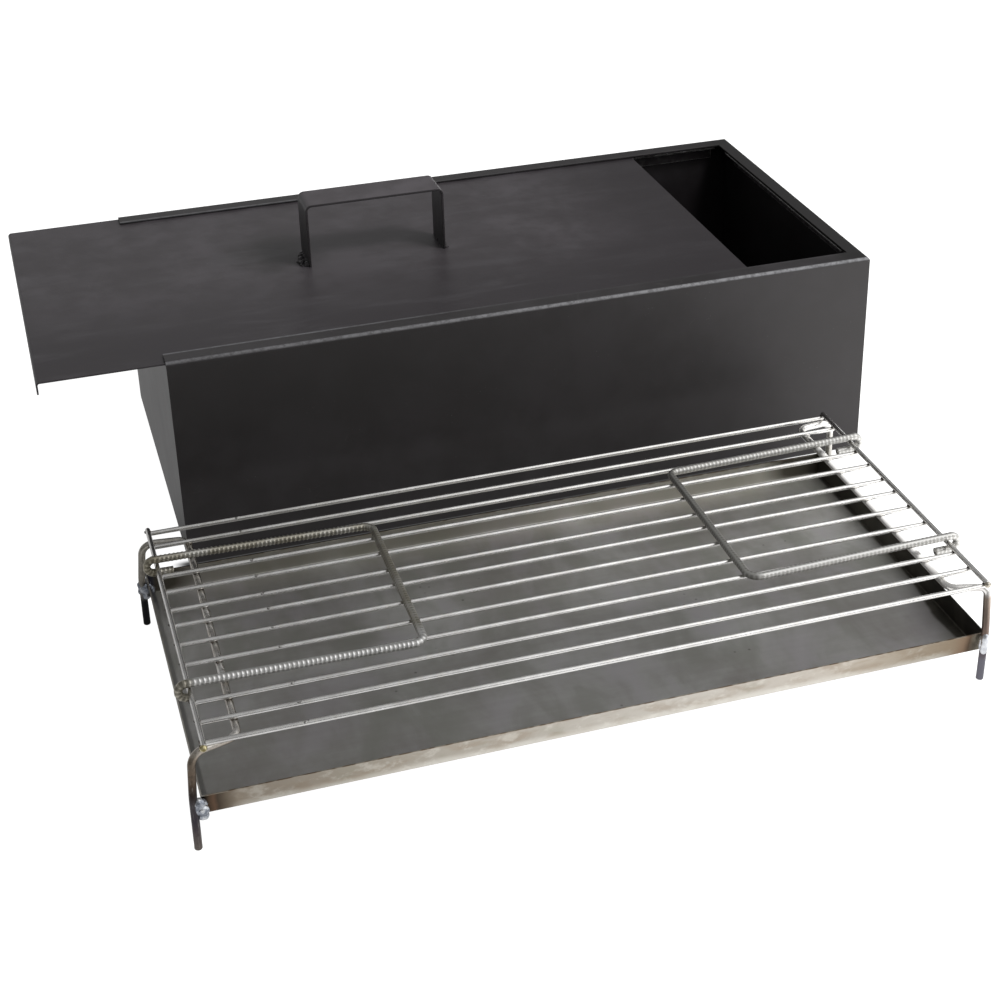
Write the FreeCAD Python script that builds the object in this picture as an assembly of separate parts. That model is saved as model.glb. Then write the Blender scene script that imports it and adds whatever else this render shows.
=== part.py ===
import FreeCAD, Part
import math
import os

os.makedirs("parts", exist_ok=True)

V = FreeCAD.Vector

# ----------------------------------------------------------------------------
# Smoker box with a sliding lid, and the lift-out rack and drip tray that stands
# in front of it. Millimetres, +Z up. The origin is the centre of the box's flat
# underside. +X is the long way of the box, towards its closed end; the lid is
# drawn off towards -X. The rack stands on the same surface, on the -Y side.
# ----------------------------------------------------------------------------

# box body, folded steel sheet
BOX_L = 650.0            # length, X
BOX_W = 344.0            # depth, Y
BOX_H = 201.0            # height to the top of the rim
SHEET = 1.5              # sheet thickness of box and lid
BEND = 2.6               # centre-line radius of the folds
RIM_SIDE = 18.0          # width of the rim along the front and the rear
RIM_END = 15.0           # width of the rim along the closed end

# angle rails under the rim, which carry the lid
RAIL_W = 12.5            # ledge width
RAIL_H = 15.0            # leg height, against the wall
RAIL_T = 1.5
LID_GAP_TOP = 0.5        # between lid and rim
LID_GAP_SIDE = 1.2       # between lid and wall, so that its edge clears the inside of the rim's fold
LID_GAP_RAIL = 0.4       # between lid and rail
OPEN_END_DROP = 1.5      # how far the open end wall stops below the rails, to let the lip's fold close over it
SIDE_RAIL_END_X = 307.0  # where the side rails stop
END_RAIL_Y = 140.0       # half length of the rail across the closed end

# lid, drawn partly off at rest
LID_X0 = -432.0          # outer face of the pull lip
LID_X1 = 211.5           # leading edge
LIP_DROP = 13.0          # height of the pull lip
LID_BEND = 2.4

# strap handle on the lid
STRAP_L = 131.0          # overall length, X
STRAP_W = 38.0           # strap width, Y
STRAP_T = 2.0
STRAP_H = 61.0           # height above the lid
STRAP_BEND = 5.0
STRAP_CX = -104.0
STRAP_CY = 6.0

# rack: straight wires on two bent leg frames
RACK_X = -56.0           # middle between the two end rods
RACK_Y = -389.8          # middle between the first and the last wire
WIRE_R = 2.0
END_ROD_R = 2.0
LEG_R = 3.0
END_ROD_X = 306.0        # end rods stand at plus and minus this, from RACK_X
WIRE_Z = 82.3            # axis height of the wires
BITE = 0.25              # how deep crossing rods are sunk into each other by welding
WIRE_Y = [146.5, 124.0, 102.3, 76.9, 52.6, 25.9, 4.0, -22.3, -49.4, -73.8, -97.8, -122.3, -146.4]
END_ROD_Y0 = {"left": -156.0, "right": -149.5}   # end rods reach a little past the last wire in front
END_ROD_Y1 = 147.5
LEG_BEND = 11.0
KNEE_Z = 44.0            # legs stand out a little from here down
KNEE_BEND = 60.0

# handles of the rack, bent from ribbed rod
BAIL_R = 3.3             # radius over the ribs
BAIL_LEFT_L = 177.0      # from end rod to the cross part
BAIL_RIGHT_L = 172.0
BAIL_Y_REAR = 89.6       # arms pass between two wires
BAIL_Y_FRONT = -85.8
HOOK_R = 6.0             # centre-line radius of the hook round the end rod
HOOK_TAIL = {"left": (15.0, 4.0), "right": (15.0, 13.0)}   # rear and front; the left one in front is cropped short
BAIL_CLEAR = 0.35        # between handle and end rod, and handle and wires

# drip tray
TRAY_TOP = (-312.6, 307.8, -151.3, 154.0)       # outer outline at its upper edge: x0, x1, y0, y1
TRAY_FOOT = (-307.6, 306.4, -148.0, 149.6)      # and at its floor: the walls lean outwards
TRAY_Z0, TRAY_Z1 = 22.1, 40.7
TRAY_T = 1.2
TRAY_BEND = 2.5          # outer radius of the folds at the foot of its walls

WIRE_TOP = WIRE_Z + WIRE_R
END_ROD_Z = WIRE_Z + WIRE_R + END_ROD_R - BITE
CROSS_Z = WIRE_Z - WIRE_R - LEG_R + BITE

out = {}


def solid_of(shape):
    """The one solid of a shape, with its seams merged."""
    s = shape.removeSplitter()
    if s.ShapeType != "Solid":
        sol = s.Solids
        if len(sol) == 1:
            s = sol[0]
    return s


def corner_path(points, radii):
    """Edges of a path of straight runs joined by tangent arcs."""
    edges = []
    pts = [V(*p) for p in points]
    start = pts[0]
    for i in range(1, len(pts) - 1):
        p, c, n = pts[i - 1], pts[i], pts[i + 1]
        a = (p - c).normalize()
        b = (n - c).normalize()
        r = radii[i - 1]
        half = math.acos(max(-1.0, min(1.0, a.dot(b)))) / 2.0
        t = r / math.tan(half)
        s = c + a * t
        e = c + b * t
        bis = (a + b).normalize()
        centre = c + bis * (r / math.sin(half))
        mid = centre - bis * r
        if (s - start).Length > 1e-6:
            edges.append(Part.LineSegment(start, s).toShape())
        edges.append(Part.Arc(s, mid, e).toShape())
        start = e
    edges.append(Part.LineSegment(start, pts[-1]).toShape())
    return edges


def rod(points, radii, r):
    """Round rod bent along a path: a pipe with flat ends."""
    edges = corner_path(points, radii)
    path = Part.Wire(edges)
    d = (V(*points[1]) - V(*points[0])).normalize()
    circle = Part.Wire([Part.Circle(V(*points[0]), d, r).toShape()])
    return path.makePipeShell([circle], True, False)


def cyl(p, q, r):
    a, b = V(*p), V(*q)
    return Part.makeCylinder(r, (b - a).Length, a, b - a)


def strip(points, radii, t, plane, lo, hi):
    """Folded sheet: a centre line of runs and bends, given thickness t, drawn out from lo to hi.
    plane 'YZ' takes points (y, z) and draws along X; plane 'XZ' takes (x, z) and draws along Y."""
    def up(p, h):
        return V(h, p[0], p[1]) if plane == "YZ" else V(p[0], h, p[1])
    pts = [(float(x), float(y)) for x, y in points]

    def side(sgn):
        segs = []
        n = len(pts)
        prev = None
        for i in range(n - 1):
            ax, ay = pts[i]
            bx, by = pts[i + 1]
            dx, dy = bx - ax, by - ay
            l = math.hypot(dx, dy)
            dx, dy = dx / l, dy / l
            nx, ny = -dy * sgn * t / 2, dx * sgn * t / 2
            segs.append(((ax + nx, ay + ny), (bx + nx, by + ny), (dx, dy)))
        ed = []
        start = segs[0][0]
        for i in range(len(segs) - 1):
            d0, d1 = segs[i][2], segs[i + 1][2]
            turn = d0[0] * d1[1] - d0[1] * d1[0]
            ang = math.acos(max(-1, min(1, d0[0] * d1[0] + d0[1] * d1[1])))
            r = radii[i] - sgn * (1 if turn > 0 else -1) * t / 2
            # corner of the two offset lines
            c = pts[i + 1]
            tt = radii[i] * math.tan(ang / 2)
            s = (c[0] - d0[0] * tt - d0[1] * sgn * t / 2, c[1] - d0[1] * tt + d0[0] * sgn * t / 2)
            e = (c[0] + d1[0] * tt - d1[1] * sgn * t / 2, c[1] + d1[1] * tt + d1[0] * sgn * t / 2)
            cn = (c[0] - d0[0] * tt - d0[1] * (1 if turn > 0 else -1) * radii[i],
                  c[1] - d0[1] * tt + d0[0] * (1 if turn > 0 else -1) * radii[i])
            m = ((s[0] + e[0]) / 2 - cn[0], (s[1] + e[1]) / 2 - cn[1])
            ml = math.hypot(*m)
            mid = (cn[0] + m[0] / ml * r, cn[1] + m[1] / ml * r)
            ed.append(("l", start, s))
            ed.append(("a", s, mid, e))
            start = e
        ed.append(("l", start, segs[-1][1]))
        return ed

    left = side(1)
    right = side(-1)

    def mk(e):
        if e[0] == "l":
            return Part.LineSegment(up(e[1], lo), up(e[2], lo)).toShape()
        return Part.Arc(up(e[1], lo), up(e[2], lo), up(e[3], lo)).toShape()
    edges = [mk(e) for e in left]
    edges.append(Part.LineSegment(up(left[-1][-1], lo), up(right[-1][-1], lo)).toShape())
    edges += [mk(e) for e in reversed(right)]
    edges.append(Part.LineSegment(up(right[0][1], lo), up(left[0][1], lo)).toShape())
    w = Part.Wire(Part.__sortEdges__(edges))
    face = Part.Face(w)
    vec = V(hi - lo, 0, 0) if plane == "YZ" else V(0, hi - lo, 0)
    return face.extrude(vec)


def box(x0, x1, y0, y1, z0, z1):
    return Part.makeBox(x1 - x0, y1 - y0, z1 - z0, V(x0, y0, z0))


# ----------------------------------------------------------------------------
# Box body
# ----------------------------------------------------------------------------
hl, hw, t = BOX_L / 2, BOX_W / 2, SHEET
mid_y = hw - t / 2
top_c = BOX_H - t / 2

# one sheet folded into floor, front wall, rear wall and the rim of both walls
shell = strip([(-hw + RIM_SIDE, top_c), (-mid_y, top_c), (-mid_y, t / 2), (mid_y, t / 2), (mid_y, top_c),
               (hw - RIM_SIDE, top_c)], [BEND] * 4, t, "YZ", -hl, hl)
out["box_shell"] = shell

# closed end: a plate let in between the walls, with its own folded rim
end_mid = hl - t / 2
rim_part = strip([(end_mid, t), (end_mid, top_c), (hl - RIM_END, top_c)], [BEND], t, "XZ",
                 -hw + RIM_SIDE, hw - RIM_SIDE)
plate_part = box(hl - t, hl, -hw + t, hw - t, t, BOX_H - t - 2.5)
shoulder = []
for s in (-1, 1):
    y0, y1 = sorted((s * (hw - RIM_SIDE), s * (hw - t)))
    shoulder.append(box(hl - t, hl, y0, y1, t, BOX_H - t))
closed = rim_part.fuse([plate_part] + shoulder).cut(shell)
# the fold of this rim is carried on round both corners: the ends of the side rims are ground to the same round
er = BEND + t / 2
corner = box(hl - er, hl + 1, -hw - 1, hw + 1, BOX_H - er, BOX_H + 1).cut(
    Part.makeCylinder(er, 2 * hw + 4, V(hl - er, -hw - 2, BOX_H - er), V(0, 1, 0)))
out["box_shell"] = solid_of(shell.cut(corner))
out["closed_end_wall"] = solid_of(closed.cut(corner))

# open end: a lower plate that the lid passes over
RAIL_TOP = BOX_H - SHEET - LID_GAP_TOP - SHEET - LID_GAP_RAIL
open_end = box(-hl, -hl + t, -hw + t, hw - t, t, RAIL_TOP - OPEN_END_DROP).cut(shell)
out["open_end_wall"] = solid_of(open_end)

# rails: angles on the walls, ledge uppermost
rc = RAIL_TOP - RAIL_T / 2
wall_in = hw - t
for s, name in ((-1, "front_lid_rail"), (1, "rear_lid_rail")):
    yw = s * (wall_in - RAIL_T / 2)
    out[name] = strip([(yw, RAIL_TOP - RAIL_H), (yw, rc), (s * (wall_in - RAIL_W), rc)], [1.6], RAIL_T, "YZ",
                      -hl + t, SIDE_RAIL_END_X)
xw = hl - t - RAIL_T / 2
out["end_lid_rail"] = strip([(xw, RAIL_TOP - RAIL_H), (xw, rc), (hl - t - RAIL_W, rc)], [1.6], RAIL_T, "XZ",
                            -END_RAIL_Y, END_RAIL_Y)

# ----------------------------------------------------------------------------
# Lid
# ----------------------------------------------------------------------------
lid_top = BOX_H - SHEET - LID_GAP_TOP
lid_c = lid_top - SHEET / 2
lid_hw = wall_in - LID_GAP_SIDE
lid = strip([(LID_X1, lid_c), (LID_X0 + SHEET / 2, lid_c), (LID_X0 + SHEET / 2, lid_top - LIP_DROP)],
            [LID_BEND], SHEET, "XZ", -lid_hw, lid_hw)
# the two lower corners of the lip are rounded off
for s in (-1, 1):
    r = 5.0
    y = s * lid_hw
    z = lid_top - LIP_DROP
    y0, y1 = sorted((y, y - s * r))
    cut = box(LID_X0 - 1, LID_X0 + SHEET + 1, y0 - (0.01 if s < 0 else 0), y1 + (0.01 if s > 0 else 0), z - 0.01, z + r)
    cut = cut.cut(Part.makeCylinder(r, SHEET + 4, V(LID_X0 - 2, y - s * r, z + r), V(1, 0, 0)))
    lid = lid.cut(cut)
out["lid_plate"] = solid_of(lid)

sx0 = STRAP_CX - STRAP_L / 2 + STRAP_T / 2
sx1 = STRAP_CX + STRAP_L / 2 - STRAP_T / 2
sz = lid_top + STRAP_H - STRAP_T / 2
strap = strip([(sx0, lid_top), (sx0, sz), (sx1, sz), (sx1, lid_top)], [STRAP_BEND] * 2, STRAP_T, "XZ",
              STRAP_CY - STRAP_W / 2, STRAP_CY + STRAP_W / 2)
out["lid_handle"] = strap

# weld beads along the outer side of both feet
beads = []
for s, x in ((-1, STRAP_CX - STRAP_L / 2), (1, STRAP_CX + STRAP_L / 2)):
    b = Part.makeCylinder(3.0, STRAP_W - 8, V(x, STRAP_CY - STRAP_W / 2 + 4, lid_top), V(0, 1, 0))
    keep = box(min(x, x + s * 4), max(x, x + s * 4), STRAP_CY - 40, STRAP_CY + 40, lid_top, lid_top + 5)
    beads.append(b.common(keep))
out["lid_handle_welds"] = Part.makeCompound([x for b in beads for x in b.Solids])

# ----------------------------------------------------------------------------
# Rack. Everything is drawn about the rack's own middle and then set in place.
# ----------------------------------------------------------------------------
rack = {}


def leg_frame(foot_f, knee_f, top_f, in_f, in_r, top_r, knee_r, foot_r, radii):
    """Leg, part under the first wires, crossbar, part under the last wires, leg. Points are (x, y); the feet are cut flat."""
    def below(knee, foot, z):
        f = (KNEE_Z - z) / KNEE_Z
        return (knee[0] + (foot[0] - knee[0]) * f, knee[1] + (foot[1] - knee[1]) * f, z)
    pts = [below(knee_f, foot_f, -2.0), (*knee_f, KNEE_Z), (*top_f, CROSS_Z), (*in_f, CROSS_Z), (*in_r, CROSS_Z),
           (*top_r, CROSS_Z), (*knee_r, KNEE_Z), below(knee_r, foot_r, -2.0)]
    body = rod(pts, radii, LEG_R)
    return solid_of(body.cut(box(-400, 400, -300, 300, -20, 0)))


LEFT_FRAME = ((-318.6, -157.0), (-318.0, -154.6), (-315.2, -149.0), (-280.4, -138.8),
              (-275.6, 135.0), (-312.6, 139.5), (-316.4, 139.6), (-316.8, 138.8))
RIGHT_FRAME = ((304.5, -155.2), (305.4, -154.8), (310.6, -143.0), (281.4, -134.5),
               (280.0, 141.4), (313.4, 145.4), (313.6, 145.4), (313.2, 145.0))
rack["left_leg_frame"] = leg_frame(*LEFT_FRAME, [KNEE_BEND, LEG_BEND, 10.0, 10.0, LEG_BEND, KNEE_BEND])
rack["right_leg_frame"] = leg_frame(*RIGHT_FRAME, [KNEE_BEND, 5.5, 9.5, 9.5, 9.5, KNEE_BEND])

for i, y in enumerate(WIRE_Y):
    rack["grill_wire_%02d" % (i + 1)] = cyl((-END_ROD_X - 1.0, y, WIRE_Z), (END_ROD_X + 1.0, y, WIRE_Z), WIRE_R)

rack["left_end_rod"] = cyl((-END_ROD_X, END_ROD_Y0["left"], END_ROD_Z), (-END_ROD_X, END_ROD_Y1, END_ROD_Z), END_ROD_R)
rack["right_end_rod"] = cyl((END_ROD_X, END_ROD_Y0["right"], END_ROD_Z), (END_ROD_X, END_ROD_Y1, END_ROD_Z), END_ROD_R)


# handle: hook tail, hook, arm, corner, cross part, corner, arm, hook, tail
def bail(length, s, r_rear, r_front, tails):
    """s = +1: hooked on the left end rod and lying to the right; s = -1: the other way round."""
    x0 = -s * END_ROD_X
    za = END_ROD_Z + END_ROD_R + BAIL_R + BAIL_CLEAR      # arm's axis over the end rod
    zc = WIRE_TOP + BAIL_R + BAIL_CLEAR                   # axis of the cross part, lying on the wires
    slope = math.atan2(za - zc, length)
    ux, uz = math.cos(slope), -math.sin(slope)            # along the arm, inwards
    nx, nz = math.sin(slope), math.cos(slope)             # square to it, upwards
    back = 2.0                                            # how far outboard of the rod's axis the hook's bend starts
    def P(a, n, y):
        # a along the arm from above the rod, n square to it
        x = ux * a + nx * n
        z = uz * a + nz * n
        return V(x0 + s * x, y, za + z)
    reach = length / ux
    def hook(y, tail_len):
        tail = P(-back + tail_len, -2 * HOOK_R, y)
        low = P(-back, -2 * HOOK_R, y)
        mid = P(-back - HOOK_R, -HOOK_R, y)
        high = P(-back, 0, y)
        return tail, low, mid, high
    ta, lo_, mi, hi_ = hook(BAIL_Y_REAR, tails[0])
    tb, lo2, mi2, hi2 = hook(BAIL_Y_FRONT, tails[1])
    cr, cf = P(reach, 0, BAIL_Y_REAR), P(reach, 0, BAIL_Y_FRONT)
    e = [Part.LineSegment(ta, lo_).toShape(), Part.Arc(lo_, mi, hi_).toShape()]
    dirx = (cr - hi_).normalize()
    a0, a1 = cr - dirx * r_rear, cr + V(0, -1, 0) * r_rear
    m0 = cr - dirx * r_rear + V(0, -1, 0) * r_rear
    am = m0 + (cr - m0).normalize() * r_rear
    e += [Part.LineSegment(hi_, a0).toShape(), Part.Arc(a0, am, a1).toShape()]
    b0, b1 = cf + V(0, 1, 0) * r_front, cf - dirx * r_front
    m1 = cf - dirx * r_front + V(0, 1, 0) * r_front
    bm = m1 + (cf - m1).normalize() * r_front
    e += [Part.LineSegment(a1, b0).toShape(), Part.Arc(b0, bm, b1).toShape()]
    e += [Part.LineSegment(b1, hi2).toShape(), Part.Arc(hi2, mi2, lo2).toShape(), Part.LineSegment(lo2, tb).toShape()]
    w = Part.Wire(e)
    d = (lo_ - ta).normalize()
    c = Part.Wire([Part.Circle(ta, d, BAIL_R).toShape()])
    return w.makePipeShell([c], True, False), w.Length


lb, lb_len = bail(BAIL_LEFT_L, 1, 8.0, 9.0, HOOK_TAIL["left"])
rb, rb_len = bail(BAIL_RIGHT_L, -1, 7.0, 11.0, HOOK_TAIL["right"])
rack["left_handle"] = lb
rack["right_handle"] = rb

# drip tray: shallow folded pan with walls that lean outwards, sharp welded corners, small folds round its floor
def pan(inset, z0, z1, r):
    """Solid bounded by the tray's outer planes moved inwards by inset, from floor height z0 to z1."""
    def prof(t0, t1, f0, f1, plane, lo, hi):
        def up(a, z):
            return (lo, a, z) if plane == "YZ" else (a, lo, z)
        m0 = (t0 - f0) / (TRAY_Z1 - TRAY_Z0)
        m1 = (t1 - f1) / (TRAY_Z1 - TRAY_Z0)
        i0, i1 = inset * math.sqrt(1 + m0 * m0), inset * math.sqrt(1 + m1 * m1)
        def left(z):
            return f0 + m0 * (z - TRAY_Z0) + i0
        def right(z):
            return f1 + m1 * (z - TRAY_Z0) - i1
        e = corner_path([up(left(z1), z1), up(left(z0), z0), up(right(z0), z0), up(right(z1), z1)], [r, r])
        e.append(Part.LineSegment(V(*up(right(z1), z1)), V(*up(left(z1), z1))).toShape())
        f = Part.Face(Part.Wire(e))
        return f.extrude(V(hi - lo, 0, 0) if plane == "YZ" else V(0, hi - lo, 0))
    tx0, tx1, ty0, ty1 = TRAY_TOP
    fx0, fx1, fy0, fy1 = TRAY_FOOT
    return prof(tx0, tx1, fx0, fx1, "XZ", ty0 - 5, ty1 + 5).common(prof(ty0, ty1, fy0, fy1, "YZ", tx0 - 5, tx1 + 5))


tray_outer = pan(0.0, TRAY_Z0, TRAY_Z1, TRAY_BEND)
tray_inner = pan(TRAY_T, TRAY_Z0 + TRAY_T, TRAY_Z1 + 5, TRAY_BEND - TRAY_T)
rack["drip_tray"] = solid_of(tray_outer.cut(tray_inner))

# welds that hang the tray in the four legs: a lump in the gap between leg and tray, at (x, y), z from and to, radius
WELDS = ((-314.0, -154.0, 27.5, 41.0, 3.6), (307.6, -153.6, 27.0, 40.0, 2.8),
         (-315.4, 143.6, 26.5, 39.0, 3.4), (310.2, 147.4, 27.0, 39.0, 3.2))
lumps = []
for cx, cy, z0, z1, r in WELDS:
    cap = Part.makeCylinder(r, z1 - z0 - 2 * r, V(cx, cy, z0 + r), V(0, 0, 1)).fuse(
        [Part.makeSphere(r, V(cx, cy, z0 + r)), Part.makeSphere(r, V(cx, cy, z1 - r))])
    frame = rack["left_leg_frame"] if cx < 0 else rack["right_leg_frame"]
    body = cap.cut(frame).cut(tray_outer)
    lumps.append(max(body.Solids, key=lambda q: q.Volume))
rack["tray_corner_welds"] = Part.makeCompound(lumps)

for name, shp in rack.items():
    q = shp.copy()
    q.translate(V(RACK_X, RACK_Y, 0))
    out[name] = q

# ----------------------------------------------------------------------------
for name, shp in out.items():
    shp.exportStep("parts/%s.step" % name)
    print("%-20s solids %d valid %s volume %10.1f" % (name, len(shp.Solids), shp.isValid(), shp.Volume))

area = math.pi * BAIL_R ** 2
print("left handle: pipe volume over section times length %.5f" % (lb.Volume / (area * lb_len)))
print("right handle: pipe volume over section times length %.5f" % (rb.Volume / (area * rb_len)))
print("hinge axes: x %.3f and %.3f, z %.3f" % (RACK_X - END_ROD_X, RACK_X + END_ROD_X, END_ROD_Z))
print("nodes", len(out))
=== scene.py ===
import math
import random

import bmesh
import bpy
import numpy as np
from mathutils import Matrix, Vector, noise


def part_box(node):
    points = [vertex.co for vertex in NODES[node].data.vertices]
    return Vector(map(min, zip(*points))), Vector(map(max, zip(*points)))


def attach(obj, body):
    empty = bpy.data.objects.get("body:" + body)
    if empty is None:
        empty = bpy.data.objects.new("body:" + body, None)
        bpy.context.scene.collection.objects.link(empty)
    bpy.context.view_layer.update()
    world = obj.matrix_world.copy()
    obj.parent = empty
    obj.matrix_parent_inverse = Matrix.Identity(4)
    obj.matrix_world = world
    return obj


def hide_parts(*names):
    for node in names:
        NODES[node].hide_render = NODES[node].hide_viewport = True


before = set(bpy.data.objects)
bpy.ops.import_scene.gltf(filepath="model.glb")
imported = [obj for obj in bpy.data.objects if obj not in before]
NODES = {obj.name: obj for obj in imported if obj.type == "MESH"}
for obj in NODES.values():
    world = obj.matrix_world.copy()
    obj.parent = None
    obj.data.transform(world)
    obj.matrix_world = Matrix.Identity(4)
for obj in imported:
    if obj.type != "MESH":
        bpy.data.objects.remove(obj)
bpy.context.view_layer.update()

SCENE = bpy.context.scene
MM = 0.001

# ----------------------------------------------------------------------------
# small helpers: meshes
# ----------------------------------------------------------------------------


def new_object(name, verts, faces, smooth=True):
    me = bpy.data.meshes.new(name)
    me.from_pydata([tuple(v) for v in verts], [], [tuple(int(i) for i in f) for f in faces])
    me.validate()
    ob = bpy.data.objects.new(name, me)
    SCENE.collection.objects.link(ob)
    if smooth:
        me.shade_smooth()
    return ob


def soften(ob, angle=32.0, weighted=True):
    """Smooth shading with hard edges kept where the surface turns sharply."""
    me = ob.data
    me.shade_smooth()
    bm = bmesh.new()
    bm.from_mesh(me)
    lim = math.radians(angle)
    for e in bm.edges:
        e.smooth = not (len(e.link_faces) == 2 and e.calc_face_angle(0.0) > lim)
    bm.to_mesh(me)
    bm.free()
    if weighted:
        mod = ob.modifiers.new("normals", "WEIGHTED_NORMAL")
        mod.keep_sharp = True
        mod.weight = 60
    return ob


def skin(node, name, width, segments=2, angle=50.0):
    """A finished copy of a sheet part: the same surfaces, with its cut edges rounded over."""
    src = NODES[node].data
    co = np.array([v.co for v in src.vertices], float).reshape(-1, 3)
    faces = [tuple(p.vertices) for p in src.polygons]
    me = bpy.data.meshes.new(name)
    me.from_pydata([tuple(c) for c in co], [], faces)
    ob = bpy.data.objects.new(name, me)
    SCENE.collection.objects.link(ob)
    bm = bmesh.new()
    bm.from_mesh(me)
    bmesh.ops.remove_doubles(bm, verts=bm.verts, dist=2e-6)
    bmesh.ops.dissolve_limit(bm, angle_limit=math.radians(0.6), verts=bm.verts, edges=bm.edges)
    bmesh.ops.recalc_face_normals(bm, faces=bm.faces)
    lim = math.radians(angle)
    edges = [e for e in bm.edges if len(e.link_faces) == 2 and e.calc_face_angle(0.0) > lim]
    worn = bm.faces.layers.float.new("edge")
    if width > 0 and edges:
        made = bmesh.ops.bevel(bm, geom=edges, offset=width, offset_type="OFFSET", segments=segments, profile=0.5,
                               affect="EDGES", clamp_overlap=True)
        for f in made["faces"]:
            f[worn] = 1.0
    bm.to_mesh(me)
    bm.free()
    soften(ob)
    return ob


def arc3(s, m, e, step):
    """Points of the circle arc s-m-e, about step apart, without its first point."""
    s, m, e = np.array(s, float), np.array(m, float), np.array(e, float)
    a, b = m - s, e - s
    n = np.cross(a, b)
    n2 = n @ n
    c = s + (np.cross(n, a) * (b @ b) + np.cross(b, n) * (a @ a)) / (2 * n2)
    r = np.linalg.norm(s - c)
    nn = n / math.sqrt(n2)
    u = (s - c) / r
    v = np.cross(nn, u)
    ang = math.atan2((e - c) @ v, (e - c) @ u) % (2 * math.pi)
    k = max(3, int(round(r * ang / step)))
    return [c + r * (math.cos(ang * i / k) * u + math.sin(ang * i / k) * v) for i in range(1, k + 1)]


def line3(s, e, step):
    s, e = np.array(s, float), np.array(e, float)
    k = max(1, int(round(np.linalg.norm(e - s) / step)))
    return [s + (e - s) * i / k for i in range(1, k + 1)]


def rounded_path(points, radii, step):
    """Straight runs with tangent arcs at the corners, as points step apart."""
    pts = [np.array(p, float) for p in points]
    out = [pts[0]]
    start = pts[0]
    for i in range(1, len(pts) - 1):
        p, c, n = pts[i - 1], pts[i], pts[i + 1]
        a = (p - c) / np.linalg.norm(p - c)
        b = (n - c) / np.linalg.norm(n - c)
        r = radii[i - 1]
        half = math.acos(max(-1.0, min(1.0, float(a @ b)))) / 2.0
        t = r / math.tan(half)
        s, e = c + a * t, c + b * t
        bis = (a + b) / np.linalg.norm(a + b)
        centre = c + bis * (r / math.sin(half))
        out += line3(start, s, step)
        out += arc3(s, centre - bis * r, e, min(step, 0.8 * MM))
        start = e
    out += line3(start, pts[-1], step)
    return np.array(out)


def frames_along(path, up):
    """Tangents and two normals carried along a path without twist."""
    tan = np.gradient(path, axis=0)
    tan /= np.linalg.norm(tan, axis=1)[:, None]
    u = np.array(up, float)
    u -= (u @ tan[0]) * tan[0]
    u /= np.linalg.norm(u)
    us = [u]
    for i in range(1, len(path)):
        a, b = tan[i - 1], tan[i]
        ax = np.cross(a, b)
        s = np.linalg.norm(ax)
        if s > 1e-9:
            ang = math.atan2(s, a @ b)
            ax /= s
            u = us[-1]
            u = u * math.cos(ang) + np.cross(ax, u) * math.sin(ang) + ax * (ax @ u) * (1 - math.cos(ang))
        else:
            u = us[-1]
        u = u - (u @ b) * b
        us.append(u / np.linalg.norm(u))
    us = np.array(us)
    vs = np.cross(tan, us)
    return tan, us, vs


def tube(name, path, radius, sides=18, up=(0, 0, 1), round_ends=0.0):
    """A rod along a path. radius(s, angle) takes arrays and gives the radius; the ends are rounded over by round_ends."""
    path = np.array(path, float)
    seg = np.linalg.norm(np.diff(path, axis=0), axis=1)
    s = np.concatenate([[0], np.cumsum(seg)])
    tan, us, vs = frames_along(path, up)
    ang = np.arange(sides) * 2 * math.pi / sides
    R = radius(s[:, None] + 0 * ang[None, :], ang[None, :] + 0 * s[:, None])
    end = round_ends
    verts, fcs = [], []

    def ring(c, u, v, rr):
        base = len(verts)
        for a, r in zip(ang, rr):
            verts.append(c + (math.cos(a) * u + math.sin(a) * v) * r)
        return base

    bases = []
    n = len(path)
    for i in range(n):
        d0, d1 = s[i], s[-1] - s[i]
        d = min(d0, d1)
        rr = R[i]
        if end > 0 and d < end:
            rr = rr - end * (1 - math.sqrt(max(0.0, 1 - (1 - d / end) ** 2)))
        bases.append(ring(path[i], us[i], vs[i], rr))
    for i in range(n - 1):
        a, b = bases[i], bases[i + 1]
        for k in range(sides):
            k2 = (k + 1) % sides
            fcs.append((a + k, a + k2, b + k2, b + k))
    fcs.append(tuple(bases[0] + k for k in reversed(range(sides))))
    fcs.append(tuple(bases[-1] + k for k in range(sides)))
    ob = new_object(name, verts, fcs)
    return ob, s


def dense_ends(path, end):
    """Adds points close to both ends, so that a rounded end has rings to round."""
    path = [np.array(p, float) for p in path]
    for flip in (False, True):
        if flip:
            path = path[::-1]
        a, b = path[0], path[1]
        d = (b - a) / np.linalg.norm(b - a)
        add = [a + d * end * f for f in (0.12, 0.3, 0.6, 1.0) if end * f < np.linalg.norm(b - a) * 0.98]
        path = [a] + add + path[1:]
    return np.array(path[::-1])


def blob(parts, seed, rough, scale, detail=3):
    """Vertices and faces of one lump made of displaced balls: parts are (centre, (rx, ry, rz))."""
    verts, faces = [], []
    for k, (c, r) in enumerate(parts):
        bm = bmesh.new()
        bmesh.ops.create_icosphere(bm, subdivisions=detail, radius=1.0)
        base = len(verts)
        for v in bm.verts:
            p = Vector((v.co.x * r[0], v.co.y * r[1], v.co.z * r[2]))
            q = Vector(c) + p
            w = noise.fractal(Vector((q.x * scale, q.y * scale, q.z * scale + seed * 7.3)), 1.0, 2.0, 3)
            verts.append(q + v.co.normalized() * (w * rough))
        for f in bm.faces:
            faces.append(tuple(base + v.index for v in f.verts))
        bm.free()
    return verts, faces


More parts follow.
